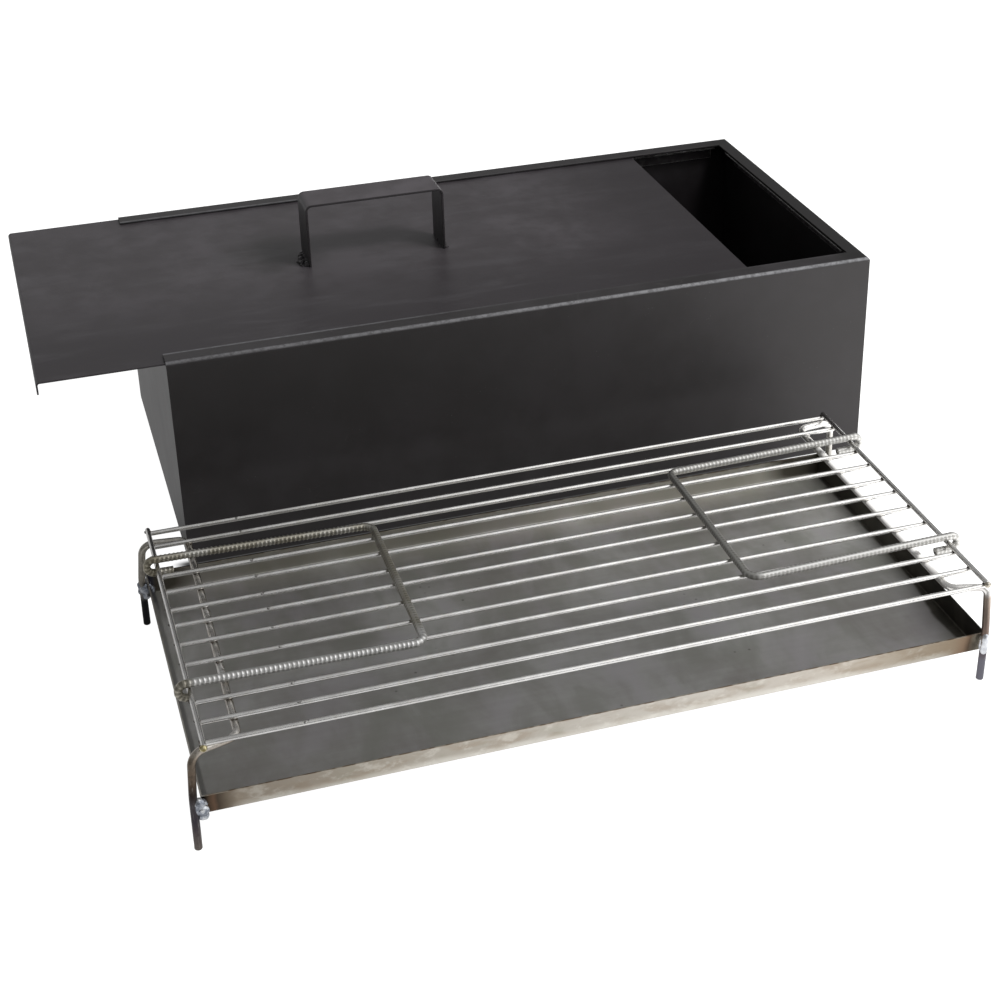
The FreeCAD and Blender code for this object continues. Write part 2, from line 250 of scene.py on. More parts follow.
def remeshed(name, verts, faces, voxel, smooth_steps=2):
    """One closed surface over overlapping lumps."""
    ob = new_object(name, verts, faces)
    mod = ob.modifiers.new("union", "REMESH")
    mod.mode = "VOXEL"
    mod.voxel_size = voxel
    if smooth_steps:
        sm = ob.modifiers.new("smooth", "SMOOTH")
        sm.iterations = smooth_steps
        sm.factor = 0.5
    dg = bpy.context.evaluated_depsgraph_get()
    dg.update()
    me = bpy.data.meshes.new_from_object(ob.evaluated_get(dg))
    ob.modifiers.clear()
    old = ob.data
    ob.data = me
    me.name = name
    bpy.data.meshes.remove(old)
    me.shade_smooth()
    return ob


def paint(ob, name, values):
    at = ob.data.attributes.new(name, "FLOAT", "POINT")
    at.data.foreach_set("value", np.asarray(values, np.float32))


def coords(ob):
    co = np.zeros(len(ob.data.vertices) * 3, np.float32)
    ob.data.vertices.foreach_get("co", co)
    return co.reshape(-1, 3).astype(float)


# ----------------------------------------------------------------------------
# small helpers: materials
# ----------------------------------------------------------------------------


class Graph:
    def __init__(self, tree):
        self.t = tree
        tree.nodes.clear()

    def node(self, kind, **props):
        n = self.t.nodes.new(kind)
        for k, v in props.items():
            setattr(n, k, v)
        return n

    def put(self, socket, value):
        if isinstance(value, bpy.types.NodeSocket):
            self.t.links.new(value, socket)
        elif value is not None:
            if hasattr(socket.default_value, "__len__") and not hasattr(value, "__len__"):
                value = (value,) * len(socket.default_value)
            if hasattr(socket.default_value, "__len__") and len(socket.default_value) == 4 and len(value) == 3:
                value = (*value, 1.0)
            socket.default_value = value

    def math(self, op, a, b=None, c=None, clamp=False):
        n = self.node("ShaderNodeMath", operation=op, use_clamp=clamp)
        self.put(n.inputs[0], a)
        if b is not None:
            self.put(n.inputs[1], b)
        if c is not None:
            self.put(n.inputs[2], c)
        return n.outputs[0]

    def add(self, a, b):
        return self.math("ADD", a, b)

    def sub(self, a, b):
        return self.math("SUBTRACT", a, b)

    def mul(self, a, b):
        return self.math("MULTIPLY", a, b)

    def vmath(self, op, a, b=None, out=0):
        n = self.node("ShaderNodeVectorMath", operation=op)
        self.put(n.inputs[0], a)
        if b is not None:
            self.put(n.inputs[1], b)
        return n.outputs[out]

    def dot(self, a, b):
        return self.vmath("DOT_PRODUCT", a, b, 1)

    def ramp01(self, v, lo, hi, to0=0.0, to1=1.0, smooth=True):
        n = self.node("ShaderNodeMapRange", interpolation_type="SMOOTHSTEP" if smooth else "LINEAR", clamp=True)
        self.put(n.inputs["Value"], v)
        self.put(n.inputs["From Min"], lo)
        self.put(n.inputs["From Max"], hi)
        self.put(n.inputs["To Min"], to0)
        self.put(n.inputs["To Max"], to1)
        return n.outputs["Result"]

    def mix(self, f, a, b, kind="MIX"):
        n = self.node("ShaderNodeMix", data_type="RGBA", blend_type=kind)
        self.put(n.inputs[0], f)
        self.put(n.inputs[6], a)
        self.put(n.inputs[7], b)
        return n.outputs[2]

    def colours(self, f, stops, kind="LINEAR"):
        n = self.node("ShaderNodeValToRGB")
        r = n.color_ramp
        r.interpolation = kind
        while len(r.elements) > 1:
            r.elements.remove(r.elements[-1])
        r.elements[0].position = stops[0][0]
        r.elements[0].color = (*stops[0][1], 1.0)
        for p, c in stops[1:]:
            e = r.elements.new(p)
            e.color = (*c, 1.0)
        self.put(n.inputs[0], f)
        return n.outputs[0]

    def noise(self, vec, scale, detail=2.0, rough=0.5, distortion=0.0, dims="3D"):
        n = self.node("ShaderNodeTexNoise", noise_dimensions=dims)
        self.put(n.inputs["Vector"], vec)
        n.inputs["Scale"].default_value = scale
        n.inputs["Detail"].default_value = detail
        n.inputs["Roughness"].default_value = rough
        n.inputs["Distortion"].default_value = distortion
        return n.outputs["Fac"] if "Fac" in n.outputs else n.outputs[0]

    def voronoi(self, vec, scale, feature="F1", out="Distance", randomness=1.0):
        n = self.node("ShaderNodeTexVoronoi", feature=feature)
        self.put(n.inputs["Vector"], vec)
        n.inputs["Scale"].default_value = scale
        n.inputs["Randomness"].default_value = randomness
        return n.outputs[out]

    def stretch(self, vec, scale, loc=(0, 0, 0), rot=(0, 0, 0)):
        n = self.node("ShaderNodeMapping")
        self.put(n.inputs["Vector"], vec)
        n.inputs["Scale"].default_value = scale
        n.inputs["Location"].default_value = loc
        n.inputs["Rotation"].default_value = rot
        return n.outputs[0]

    def xyz(self, vec):
        n = self.node("ShaderNodeSeparateXYZ")
        self.put(n.inputs[0], vec)
        return n.outputs[0], n.outputs[1], n.outputs[2]

    def objco(self):
        return self.node("ShaderNodeTexCoord").outputs["Object"]

    def attr(self, name):
        n = self.node("ShaderNodeAttribute", attribute_name=name)
        return n.outputs["Fac"]

    def bump(self, height, distance, strength=1.0, normal=None):
        n = self.node("ShaderNodeBump")
        n.inputs["Distance"].default_value = distance
        n.inputs["Strength"].default_value = strength
        self.put(n.inputs["Height"], height)
        if normal is not None:
            self.put(n.inputs["Normal"], normal)
        return n.outputs[0]

    def band(self, v, centre, half, soft):
        """1 within half of centre, falling to 0 over soft."""
        d = self.math("ABSOLUTE", self.sub(v, centre))
        return self.ramp01(d, half, half + soft, 1.0, 0.0)


def material(name, build):
    m = bpy.data.materials.new(name)
    m.use_nodes = True
    g = Graph(m.node_tree)
    out = g.node("ShaderNodeOutputMaterial")
    bs = g.node("ShaderNodeBsdfPrincipled")
    g.t.links.new(bs.outputs[0], out.inputs[0])
    build(g, bs)
    return m


def powder(kind):
    """Satin black powder coat; kind is box, lid, strap or rail, which are dusted and rubbed differently and given
    painted light and shade of their own.
    """
    # dust in part, painted light and shade in part: the one coat is made about three times lighter on the lid, strap
    # and rails than on the box
    dust_and_light = {"box": 0.72, "lid": 2.1, "strap": 2.5, "rail": 2.2}[kind]

    def tone_of(v):
        return tuple(c * dust_and_light for c in v)

    def build(g, bs):
        p = g.objco()
        x, y, z = g.xyz(p)
        cloud = g.noise(p, 7.0, 4.0, 0.55, 0.4)
        mottle = g.noise(p, 38.0, 3.0, 0.6)
        grain = g.noise(p, 1500.0, 2.0, 0.6)
        peel = g.noise(p, 420.0, 2.0, 0.5)
        tone = g.add(g.mul(cloud, 0.50), g.mul(mottle, 0.50))
        base = g.colours(g.ramp01(tone, 0.36, 0.64), [(0.0, tone_of((0.0078, 0.0066, 0.0073))),
                                                      (0.5, tone_of((0.0108, 0.0095, 0.0104))),
                                                      (1.0, tone_of((0.0150, 0.0134, 0.0148)))])
        # tiny light specks in the coat
        cell = g.voronoi(p, 260.0, "F1", "Distance")
        pick = g.noise(p, 61.0, 1.0, 0.5)
        speck = g.mul(g.ramp01(cell, 0.08, 0.13, 1.0, 0.0), g.ramp01(pick, 0.62, 0.70))
        base = g.mix(g.mul(speck, 0.35), base, (0.10, 0.098, 0.095))
        # faint handling scratches
        sp = g.stretch(p, (9.0, 9.0, 60.0), rot=(0.4, 0.7, 0.3))
        sc = g.voronoi(g.vmath("ADD", sp, g.mul(g.noise(p, 14.0, 2.0), 0.4)), 3.0, "DISTANCE_TO_EDGE", "Distance")
        scr = g.mul(g.ramp01(sc, 0.0, 0.010, 1.0, 0.0), g.ramp01(g.noise(p, 23.0, 2.0), 0.56, 0.66))
        base = g.mix(g.mul(scr, 0.22), base, (0.055, 0.053, 0.050))
        rough = g.add(0.42, g.add(g.mul(mottle, 0.07), g.mul(cloud, 0.09)))
        if kind == "lid":
            # painted shade: the lid darker towards its front edge and its right end
            lid_front_right_shade = g.mul(g.ramp01(x, 0.04, 0.20, 1.0, 0.10), g.ramp01(y, 0.02, -0.140, 1.0, 0.12))
            base = g.mix(lid_front_right_shade, (0.0075, 0.0061, 0.0071), base)
            # painted shadow: a soft dark patch beside the strap's left foot
            dx_ = g.mul(g.sub(x, -0.196), 1.0 / 0.052)
            dy_ = g.mul(g.sub(y, 0.030), 1.0 / 0.050)
            dd = g.add(g.math("SQRT", g.add(g.mul(dx_, dx_), g.mul(dy_, dy_))), g.mul(g.sub(g.noise(p, 24.0, 4.0, 0.6), 0.5), 1.3))
            foot_shadow_patch = g.ramp01(dd, 1.20, 0.35)
            base = g.mix(g.mul(foot_shadow_patch, 0.80), base, (0.0060, 0.0056, 0.0050))
            # dry wipe marks
            wipe = g.noise(g.stretch(p, (8.0, 34.0, 34.0), rot=(0, 0, 0.25)), 1.0, 5.0, 0.65, 0.3)
            base = g.mix(g.mul(g.ramp01(wipe, 0.50, 0.72), g.ramp01(x, 0.0, 0.2, 0.32, 0.12)), base, (0.036, 0.0342, 0.0375))
            rough = g.add(rough, g.mul(g.sub(wipe, 0.5), -0.06))
        if kind == "strap":
            # painted shade: the strap's legs and its cut front edge are darkened against its top
            side = g.math("MAXIMUM", g.ramp01(z, STRAP_HI - 0.0007, STRAP_HI - 0.0026), g.ramp01(y, STRAP_LO + 0.0010, STRAP_LO + 0.0004))
            base = g.mix(g.mul(side, 0.85), base, (0.0050, 0.0044, 0.0046))
        # the coat is thin and rubbed on the cut edges; these lightened edges are also a painted highlight
        n3 = g.noise(p, 130.0, 3.0, 0.65)
        wear = g.mul(g.attr("edge"), g.ramp01(n3, 0.30, 0.62, 0.35, 1.0))
        if kind == "rail":
            # rails: worn edges made light, also standing in for their lit edge as a painted highlight
            wear = g.math("MAXIMUM", wear, g.mul(g.ramp01(n3, 0.45, 0.70), 0.10))
            base = g.mix(wear, base, (0.50, 0.495, 0.485))
        elif kind == "box":
            base = g.mix(g.mul(wear, 0.75), base, (0.115, 0.115, 0.120))
            # painted shade: darker high up the walls towards the open end, and on the closed end's rim
            front_upper_shade = g.mul(g.mul(g.ramp01(z, 0.08, 0.17), g.ramp01(x, 0.12, -0.25)), g.ramp01(z, 0.1985, 0.1960))
            base = g.mix(g.mul(front_upper_shade, 0.65), base, (0.0030, 0.0026, 0.0026))
            base = g.mix(g.mul(g.mul(g.ramp01(x, 0.302, 0.306), g.ramp01(z, 0.1975, 0.1995)), 0.80), base, (0.0030, 0.0027, 0.0027))
            # inner edge of the rim: rubbed by the lid, and lightened as a painted highlight line that fades to the
            # right
            lip = g.mul(g.ramp01(z, 0.2000, 0.2004), g.ramp01(g.math("ABSOLUTE", y), 0.1568, 0.1560))
            lip = g.mul(lip, g.ramp01(x, 0.05, -0.22, 0.12, 1.0))
            base = g.mix(g.mul(lip, g.ramp01(n3, 0.30, 0.62, 0.45, 0.9)), base, (0.060, 0.060, 0.064))
            # painted shade on the rim's top at the closed end
            end_rim_shade = g.mul(g.ramp01(z, 0.1990, 0.2000), g.ramp01(x, 0.290, 0.305))
            base = g.mix(g.mul(end_rim_shade, 0.75), base, (0.0035, 0.0034, 0.0035))
            # painted highlight along the front fold, brightest towards the closed end
            fold = g.add(g.sub(0.201, z), g.add(y, 0.172))
            fold_highlight = g.mul(g.ramp01(fold, 0.0031, 0.0019), g.mul(g.ramp01(z, 0.1968, 0.1982), g.ramp01(y, -0.1672, -0.1688)))
            fold_highlight = g.mul(fold_highlight, g.ramp01(x, -0.33, 0.28, 0.50, 1.0))
            fold_highlight = g.mul(fold_highlight, g.ramp01(g.noise(p, 260.0, 4.0, 0.75), 0.32, 0.62, 0.40, 1.0))
            base = g.mix(fold_highlight, base, (0.125, 0.125, 0.131))
        g.put(bs.inputs["Base Color"], base)
        g.put(bs.inputs["Roughness"], g.sub(rough, g.mul(speck, 0.05)))
        bs.inputs["IOR"].default_value = 1.5
        bs.inputs["Specular IOR Level"].default_value = 0.5
        if kind in ("lid", "strap"):
            bs.inputs["Specular Tint"].default_value = (1.0, 0.955, 1.0, 1.0)
        else:
            bs.inputs["Specular Tint"].default_value = (1.0, 0.965, 0.955, 1.0)
        h = g.add(g.mul(grain, 0.5), g.mul(peel, 1.0))
        h = g.add(h, g.mul(speck, 0.6))
        g.put(bs.inputs["Normal"], g.bump(h, 0.000030, 0.55))
    return build


def wire(axis):
    def build(g, bs):
        p = g.objco()
        heat = g.attr("heat")
        st = {"x": (18.0, 1900.0, 1900.0), "y": (1900.0, 18.0, 1900.0)}[axis]
        draw = g.noise(g.stretch(p, st), 1.0, 3.0, 0.6)
        blot = g.noise(p, 55.0, 3.0, 0.6)
        fine = g.noise(p, 900.0, 2.0, 0.5)
        base = g.mix(g.ramp01(blot, 0.35, 0.7), (0.70, 0.69, 0.675), (0.84, 0.835, 0.82))
        base = g.mix(g.mul(g.ramp01(draw, 0.55, 0.75), 0.35), base, (0.42, 0.41, 0.395))
        # painted shade: the wires darker towards the left end
        base = g.mix(g.ramp01(g.xyz(p)[0], RX + 0.06, RX - 0.24), base, g.mix(1.0, base, (0.78, 0.78, 0.78), "MULTIPLY"))
        wob = g.add(heat, g.mul(g.sub(g.noise(p, 260.0, 2.0), 0.5), 0.25))
        tint = g.colours(wob, [(0.0, (1.0, 1.0, 1.0)), (0.30, (0.93, 0.86, 0.70)), (0.55, (0.62, 0.47, 0.33)),
                               (0.74, (0.27, 0.24, 0.27)), (0.90, (0.09, 0.085, 0.085)), (1.0, (0.035, 0.032, 0.03))])
        base = g.mix(1.0, base, tint, "MULTIPLY")
        g.put(bs.inputs["Base Color"], base)
        bs.inputs["Metallic"].default_value = 1.0
        r = g.add(0.16, g.add(g.mul(draw, 0.08), g.mul(blot, 0.06)))
        r = g.add(r, g.mul(g.ramp01(wob, 0.5, 1.0), 0.25))
        g.put(bs.inputs["Roughness"], r)
        g.put(bs.inputs["Normal"], g.bump(g.add(g.mul(draw, 0.7), g.mul(fine, 0.4)), 0.000012, 0.6))
    return build


def leg(g, bs):
    p = g.objco()
    x, y, z = g.xyz(p)
    n1 = g.noise(p, 70.0, 3.0, 0.6)
    n2 = g.noise(p, 420.0, 3.0, 0.6)
    long_ = g.noise(g.stretch(p, (900.0, 900.0, 40.0)), 1.0, 3.0, 0.6)
    zz = g.add(z, g.mul(g.sub(n1, 0.5), 0.014))
    f = g.ramp01(zz, 0.0, 0.084, smooth=False)
    steel = g.colours(f, [(0.0, (0.30, 0.26, 0.225)), (0.08, (0.24, 0.205, 0.18)), (0.20, (0.125, 0.105, 0.115)),
                          (0.32, (0.085, 0.075, 0.090)), (0.47, (0.13, 0.12, 0.125)), (0.56, (0.055, 0.042, 0.036)),
                          (0.64, (0.16, 0.115, 0.080)), (0.74, (0.27, 0.205, 0.145)), (0.86, (0.30, 0.245, 0.185)),
                          (0.93, (0.42, 0.39, 0.35)), (1.0, (0.66, 0.655, 0.64))])
    # rear legs: greyer; the left one goes black under its weld
    grey = g.colours(f, [(0.0, (0.020, 0.020, 0.022)), (0.26, (0.035, 0.034, 0.036)), (0.36, (0.17, 0.165, 0.16)),
                         (0.55, (0.22, 0.205, 0.18)), (0.85, (0.30, 0.285, 0.25)), (0.95, (0.36, 0.345, 0.31)),
                         (1.0, (0.66, 0.655, 0.64))])
    rear = g.ramp01(y, RY + 0.100, RY + 0.125)
    right_rear = g.mul(rear, g.ramp01(x, RX + 0.1, RX + 0.2))
    steel = g.mix(rear, steel, grey)
    steel = g.mix(right_rear, steel, g.colours(f, [(0.0, (0.16, 0.14, 0.13)), (0.3, (0.10, 0.09, 0.09)), (0.6, (0.55, 0.53, 0.49)),
                                                   (1.0, (0.80, 0.79, 0.76))]))
    steel = g.mix(g.mul(g.ramp01(n2, 0.45, 0.75), 0.5), steel, (0.085, 0.072, 0.062))
    steel = g.mix(g.mul(g.ramp01(long_, 0.55, 0.70), 0.42), steel, (0.56, 0.53, 0.48))
    front_r = g.mul(g.ramp01(y, RY + 0.05, RY), g.ramp01(x, RX + 0.1, RX + 0.2))
    steel = g.mix(g.mul(front_r, g.ramp01(z, 0.030, 0.046)), steel, g.mix(g.ramp01(zz, 0.045, 0.075), (0.17, 0.125, 0.105), (0.36, 0.295, 0.245)))
    steel = g.mix(g.mul(front_r, g.ramp01(z, 0.024, 0.018)), steel, (0.135, 0.132, 0.155))
    # painted light: the right crossbar made near white and less metallic, so it shows bright
    right_bar_glare = g.mul(g.ramp01(x, RX + 0.272, RX + 0.276), g.ramp01(z, 0.070, 0.075))
    steel = g.mix(g.mul(right_bar_glare, 0.85), steel, (0.90, 0.89, 0.87))
    right_bar_glare = g.mul(right_bar_glare, g.mul(g.ramp01(y, RY - 0.135, RY - 0.085), g.ramp01(y, RY + 0.115, RY + 0.070)))
    front_l = g.mul(g.ramp01(y, RY + 0.05, RY), g.ramp01(x, RX, RX - 0.1))
    steel = g.mix(g.mul(front_l, g.ramp01(z, 0.078, 0.070)), steel, g.mix(1.0, steel, (0.50, 0.50, 0.52), "MULTIPLY"))
    rear_l = g.mul(rear, g.ramp01(x, RX, RX - 0.1))
    steel = g.mix(g.mul(rear_l, g.ramp01(z, 0.027, 0.023)), steel, (0.016, 0.016, 0.018))
    # darker where the wires are welded on: heat marks, with painted contact shade under each wire
    heat = g.attr("heat")
    steel = g.mix(g.ramp01(heat, 0.25, 0.9), steel, (0.035, 0.030, 0.028))
    g.put(bs.inputs["Base Color"], steel)
    g.put(bs.inputs["Metallic"], g.sub(1.0, g.mul(right_bar_glare, 0.75)))
    g.put(bs.inputs["Roughness"], g.add(g.add(0.20, g.mul(right_bar_glare, 0.25)), g.add(g.mul(n1, 0.12), g.ramp01(f, 0.80, 0.97, 0.14, 0.0))))
    g.put(bs.inputs["Normal"], g.bump(g.add(g.mul(n2, 1.0), g.mul(long_, 0.4)), 0.00005, 0.6))


TRAY = {}


def tray_in(g, bs):
    """Inside of the tray: dark rolled steel with an oily bloom; painted shade along the folds, in the rear corners and
    up the right wall, and painted light towards the right and the rear.
    """
    lo, hi, flo, fhi = TRAY["lo"], TRAY["hi"], TRAY["floor_lo"], TRAY["floor_hi"]
    p = g.objco()
    x, y, z = g.xyz(p)
    warp = g.mul(g.sub(g.noise(p, 30.0, 3.0, 0.55), 0.5), 0.010)
    cloud = g.noise(p, 7.0, 5.0, 0.6, 0.7)
    patch = g.noise(g.stretch(p, (26.0, 12.0, 12.0), rot=(0, 0, 0.5)), 1.0, 4.0, 0.55, 0.4)
    streak = g.noise(g.stretch(p, (14.0, 160.0, 160.0), rot=(0, 0, 0.12)), 1.0, 4.0, 0.6)
    pit = g.noise(p, 600.0, 3.0, 0.6)
    spots = g.voronoi(p, 85.0, "F1", "Distance")
    pick = g.noise(p, 19.0, 2.0)
    dots = g.mul(g.ramp01(spots, 0.05, 0.13, 1.0, 0.0), g.ramp01(pick, 0.57, 0.64))
    t = g.add(g.mul(cloud, 0.56), g.add(g.mul(patch, 0.34), g.mul(streak, 0.10)))
    base = g.colours(g.ramp01(t, 0.33, 0.68), [(0.0, (0.300, 0.288, 0.270)), (0.5, (0.388, 0.381, 0.368)),
                                               (1.0, (0.500, 0.499, 0.491))])
    base = g.mix(g.mul(g.ramp01(patch, 0.50, 0.66), 0.42), base, (0.415, 0.390, 0.418))
    base = g.mix(g.mul(g.ramp01(patch, 0.50, 0.36), 0.42), base, (0.338, 0.348, 0.312))
    base = g.mix(g.mul(dots, 0.5), base, (0.055, 0.050, 0.045))
    # painted light: lighter towards the right
    base = g.mix(1.0, base, g.mix(g.ramp01(x, RX + 0.02, RX + 0.22), (1.0, 1.0, 1.0), (1.12, 1.12, 1.12)), "MULTIPLY")
    # painted light: paler towards the box, most at the right
    back = g.mix(g.ramp01(x, RX - 0.20, RX + 0.10), (1.28, 1.28, 1.27), (1.62, 1.62, 1.60))
    base = g.mix(1.0, base, g.mix(g.ramp01(y, RY - 0.04, RY + 0.10), (1.0, 1.0, 1.0), back), "MULTIPLY")
    # walls: painted shade up the right wall, on the floor before it and in the rear corners; the rear wall paler to the
    # right as painted light
    near = g.ramp01(y, RY - 0.02, RY - 0.105)
    wall_r = g.ramp01(g.add(x, g.mul(near, g.add(g.mul(warp, 0.9), 0.0075))), fhi[0] - 0.0045, fhi[0] - 0.0005)
    shade_r = g.ramp01(g.add(x, g.mul(warp, 2.5)), fhi[0] - 0.046, fhi[0] - 0.012)
    base = g.mix(g.mul(shade_r, g.add(g.mul(near, 0.45), 0.08)), base, (0.16, 0.155, 0.145))
    wall_l = g.ramp01(x, flo[0] + 0.0015, flo[0] - 0.0015)
    wall_b = g.ramp01(y, fhi[1] - 0.0015, fhi[1] + 0.0015)
    base = g.mix(g.mul(wall_b, 0.75), base, g.mix(g.ramp01(x, RX - 0.05, RX + 0.10), (0.245, 0.232, 0.190), (0.430, 0.410, 0.350)))
    # painted shade in the rear corners
    corner = g.mul(wall_b, g.add(g.ramp01(x, flo[0] + 0.045, flo[0] + 0.008), g.ramp01(g.add(x, warp), fhi[0] - 0.060, fhi[0] - 0.025)))
    base = g.mix(g.math("MINIMUM", corner, 0.85), base, (0.050, 0.042, 0.030))
    base = g.mix(g.mul(wall_l, 0.75), base, (0.115, 0.112, 0.110))
    # painted shade on the left wall at its rear corner
    left_corner_shade = g.mul(wall_l, g.ramp01(g.add(y, warp), fhi[1] - 0.045, fhi[1] - 0.015))
    base = g.mix(g.mul(left_corner_shade, 0.9), base, (0.045, 0.045, 0.060))
    wall_tone = g.mix(g.ramp01(g.add(cloud, g.mul(warp, 8.0)), 0.40, 0.60), (0.045, 0.041, 0.033), (0.105, 0.095, 0.076))
    base = g.mix(g.mul(wall_r, 0.93), base, wall_tone)
    edge = g.ramp01(z, hi[2] - 0.0010, hi[2] - 0.0002)
    rim = g.mix(g.ramp01(g.noise(p, 120.0, 3.0), 0.40, 0.62), (0.22, 0.165, 0.12), (0.50, 0.46, 0.40))
    base = g.mix(g.mul(g.mul(edge, 0.7), g.sub(1.0, wall_r)), base, rim)
    g.put(bs.inputs["Base Color"], base)
    bs.inputs["Metallic"].default_value = 1.0
    g.put(bs.inputs["Roughness"], g.add(0.45, g.mul(cloud, 0.14)))
    g.put(bs.inputs["Normal"], g.bump(g.add(g.mul(pit, 0.6), g.add(g.mul(streak, 0.15), g.mul(dots, -1.0))), 0.00004, 0.6))


def tray_out(g, bs):
    """Outside and upper edge of the tray: bare steel, clouded brown, with heat bands next to the corner welds."""
    lo, hi = TRAY["lo"], TRAY["hi"]
    p = g.objco()
    x, y, z = g.xyz(p)
    cloud = g.noise(g.stretch(p, (22.0, 22.0, 60.0)), 1.0, 4.0, 0.62, 0.5)
    blot = g.noise(g.stretch(p, (75.0, 75.0, 110.0)), 1.0, 4.0, 0.62, 0.3)
    streak = g.noise(g.stretch(p, (14.0, 160.0, 160.0), rot=(0, 0, 0.12)), 1.0, 4.0, 0.6)
    pit = g.noise(p, 600.0, 3.0, 0.6)
    u = g.ramp01(x, lo[0], hi[0], smooth=False)
    wob = g.add(u, g.mul(g.sub(g.noise(p, 60.0, 3.0), 0.5), 0.008))
    bands = g.colours(wob, [(0.0, (0.030, 0.024, 0.018)), (0.010, (0.045, 0.032, 0.020)), (0.0145, (0.145, 0.085, 0.055)),
                            (0.019, (0.060, 0.044, 0.032)), (0.026, (0.120, 0.095, 0.070)), (0.042, (0.260, 0.220, 0.175)),
                            (0.080, (0.285, 0.250, 0.208)), (0.20, (0.295, 0.268, 0.228)), (0.35, (0.350, 0.325, 0.288)),
                            (0.60, (0.430, 0.405, 0.368)), (0.78, (0.420, 0.385, 0.340)), (0.90, (0.340, 0.290, 0.228)),
                            (0.955, (0.285, 0.225, 0.160)), (0.974, (0.250, 0.170, 0.115)), (0.981, (0.110, 0.075, 0.050)),
                            (0.986, (0.215, 0.185, 0.140)), (0.994, (0.190, 0.175, 0.135)), (1.0, (0.120, 0.105, 0.085))])
    body = g.mul(g.ramp01(u, 0.030, 0.055), g.ramp01(u, 0.965, 0.940))
    brown = g.mul(g.ramp01(cloud, 0.44, 0.64), body)
    col = g.mix(g.mul(brown, 0.42), bands, (0.245, 0.185, 0.130))
    pale = g.mul(g.ramp01(blot, 0.50, 0.70), body)
    col = g.mix(g.mul(pale, 0.40), col, (0.58, 0.56, 0.515))
    green = g.mul(g.ramp01(g.noise(p, 38.0, 3.0, 0.6), 0.56, 0.70), body)
    col = g.mix(g.mul(green, 0.30), col, (0.260, 0.255, 0.200))
    low = g.mul(g.ramp01(g.add(z, g.mul(g.sub(cloud, 0.5), 0.006)), lo[2] + 0.0085, lo[2] + 0.0015), body)
    col = g.mix(g.mul(low, 0.50), col, (0.66, 0.645, 0.60))
    under = g.ramp01(z, lo[2] + 0.0012, lo[2] + 0.0004)
    col = g.mix(g.mul(under, 0.6), col, (0.16, 0.135, 0.115))
    edge = g.ramp01(z, hi[2] - 0.0005, hi[2] - 0.0001)
    rim = g.mix(g.ramp01(g.noise(p, 120.0, 3.0), 0.40, 0.62), (0.20, 0.145, 0.10), (0.46, 0.42, 0.36))
    dull = g.math("MAXIMUM", g.ramp01(x, hi[0] - 0.004, hi[0] - 0.002), g.mul(g.ramp01(y, hi[1] - 0.004, hi[1] - 0.002), g.ramp01(x, 0.1, -0.1)))
    rim = g.mix(dull, rim, (0.024, 0.021, 0.018))
    col = g.mix(g.mul(edge, g.add(0.8, g.mul(dull, 0.18))), col, rim)
    left_edge = g.mul(edge, g.ramp01(x, lo[0] + 0.004, lo[0] + 0.002))
    col = g.mix(g.mul(left_edge, 0.8), col, (0.66, 0.65, 0.62))
    ends = g.add(g.ramp01(u, 0.28, 0.06), g.ramp01(u, 0.80, 0.95))
    col = g.mix(1.0, col, g.mix(ends, (1.24, 1.24, 1.23), (0.90, 0.895, 0.875)), "MULTIPLY")
    g.put(bs.inputs["Base Color"], col)
    bs.inputs["Metallic"].default_value = 1.0
    g.put(bs.inputs["Roughness"], g.add(0.28, g.add(g.mul(streak, 0.10), g.mul(cloud, 0.12))))
    g.put(bs.inputs["Normal"], g.bump(g.add(g.mul(pit, 0.6), g.add(g.mul(streak, 0.5), g.mul(blot, 0.8))), 0.00005, 0.6))


def weld(g, bs):
    p = g.objco()
    x, y, z = g.xyz(p)
    n1 = g.noise(p, 220.0, 3.0, 0.6)
    n2 = g.noise(p, 900.0, 3.0, 0.6)
    c = g.colours(g.ramp01(n1, 0.30, 0.72), [(0.0, (0.16, 0.175, 0.205)), (0.35, (0.36, 0.385, 0.43)),
                                             (0.65, (0.56, 0.585, 0.62)), (1.0, (0.82, 0.83, 0.83))])
    c = g.mix(g.mul(g.ramp01(n2, 0.60, 0.74), 0.5), c, (0.14, 0.120, 0.11))
    # the rear welds are scorched darker and bluer, the front right one is clean
    rear = g.ramp01(y, RY + 0.05, RY + 0.1)
    c = g.mix(g.mul(rear, 0.15), c, (0.075, 0.082, 0.110))
    c = g.mix(g.mul(g.ramp01(x, RX, RX - 0.1), 0.28), c, (0.12, 0.13, 0.16))
    clean = g.mul(g.ramp01(y, RY, RY - 0.05), g.ramp01(x, RX, RX + 0.1))
    c = g.mix(g.mul(clean, 0.72), c, (0.66, 0.67, 0.70))
    g.put(bs.inputs["Base Color"], c)
    bs.inputs["Metallic"].default_value = 1.0
    g.put(bs.inputs["Roughness"], g.add(0.24, g.mul(n2, 0.20)))
    g.put(bs.inputs["Normal"], g.bump(n2, 0.00010, 0.6))


def gilt(g, bs):
    """Straw coloured heat film on the last weld drops of the end rods."""
    p = g.objco()
    n1 = g.noise(p, 500.0, 3.0, 0.6)
    x, y, z = g.xyz(p)
    c = g.colours(g.ramp01(n1, 0.30, 0.72), [(0.0, (0.16, 0.13, 0.055)), (0.5, (0.40, 0.34, 0.17)), (1.0, (0.74, 0.70, 0.50))])
    pale = g.colours(g.ramp01(n1, 0.30, 0.72), [(0.0, (0.30, 0.27, 0.22)), (0.5, (0.58, 0.54, 0.46)), (1.0, (0.82, 0.79, 0.72))])
    c = g.mix(g.ramp01(x, RX - 0.1, RX + 0.1), c, pale)
    g.put(bs.inputs["Base Color"], c)
    bs.inputs["Metallic"].default_value = 1.0
    g.put(bs.inputs["Roughness"], g.add(0.28, g.mul(n1, 0.15)))
    g.put(bs.inputs["Normal"], g.bump(n1, 0.00008, 0.6))


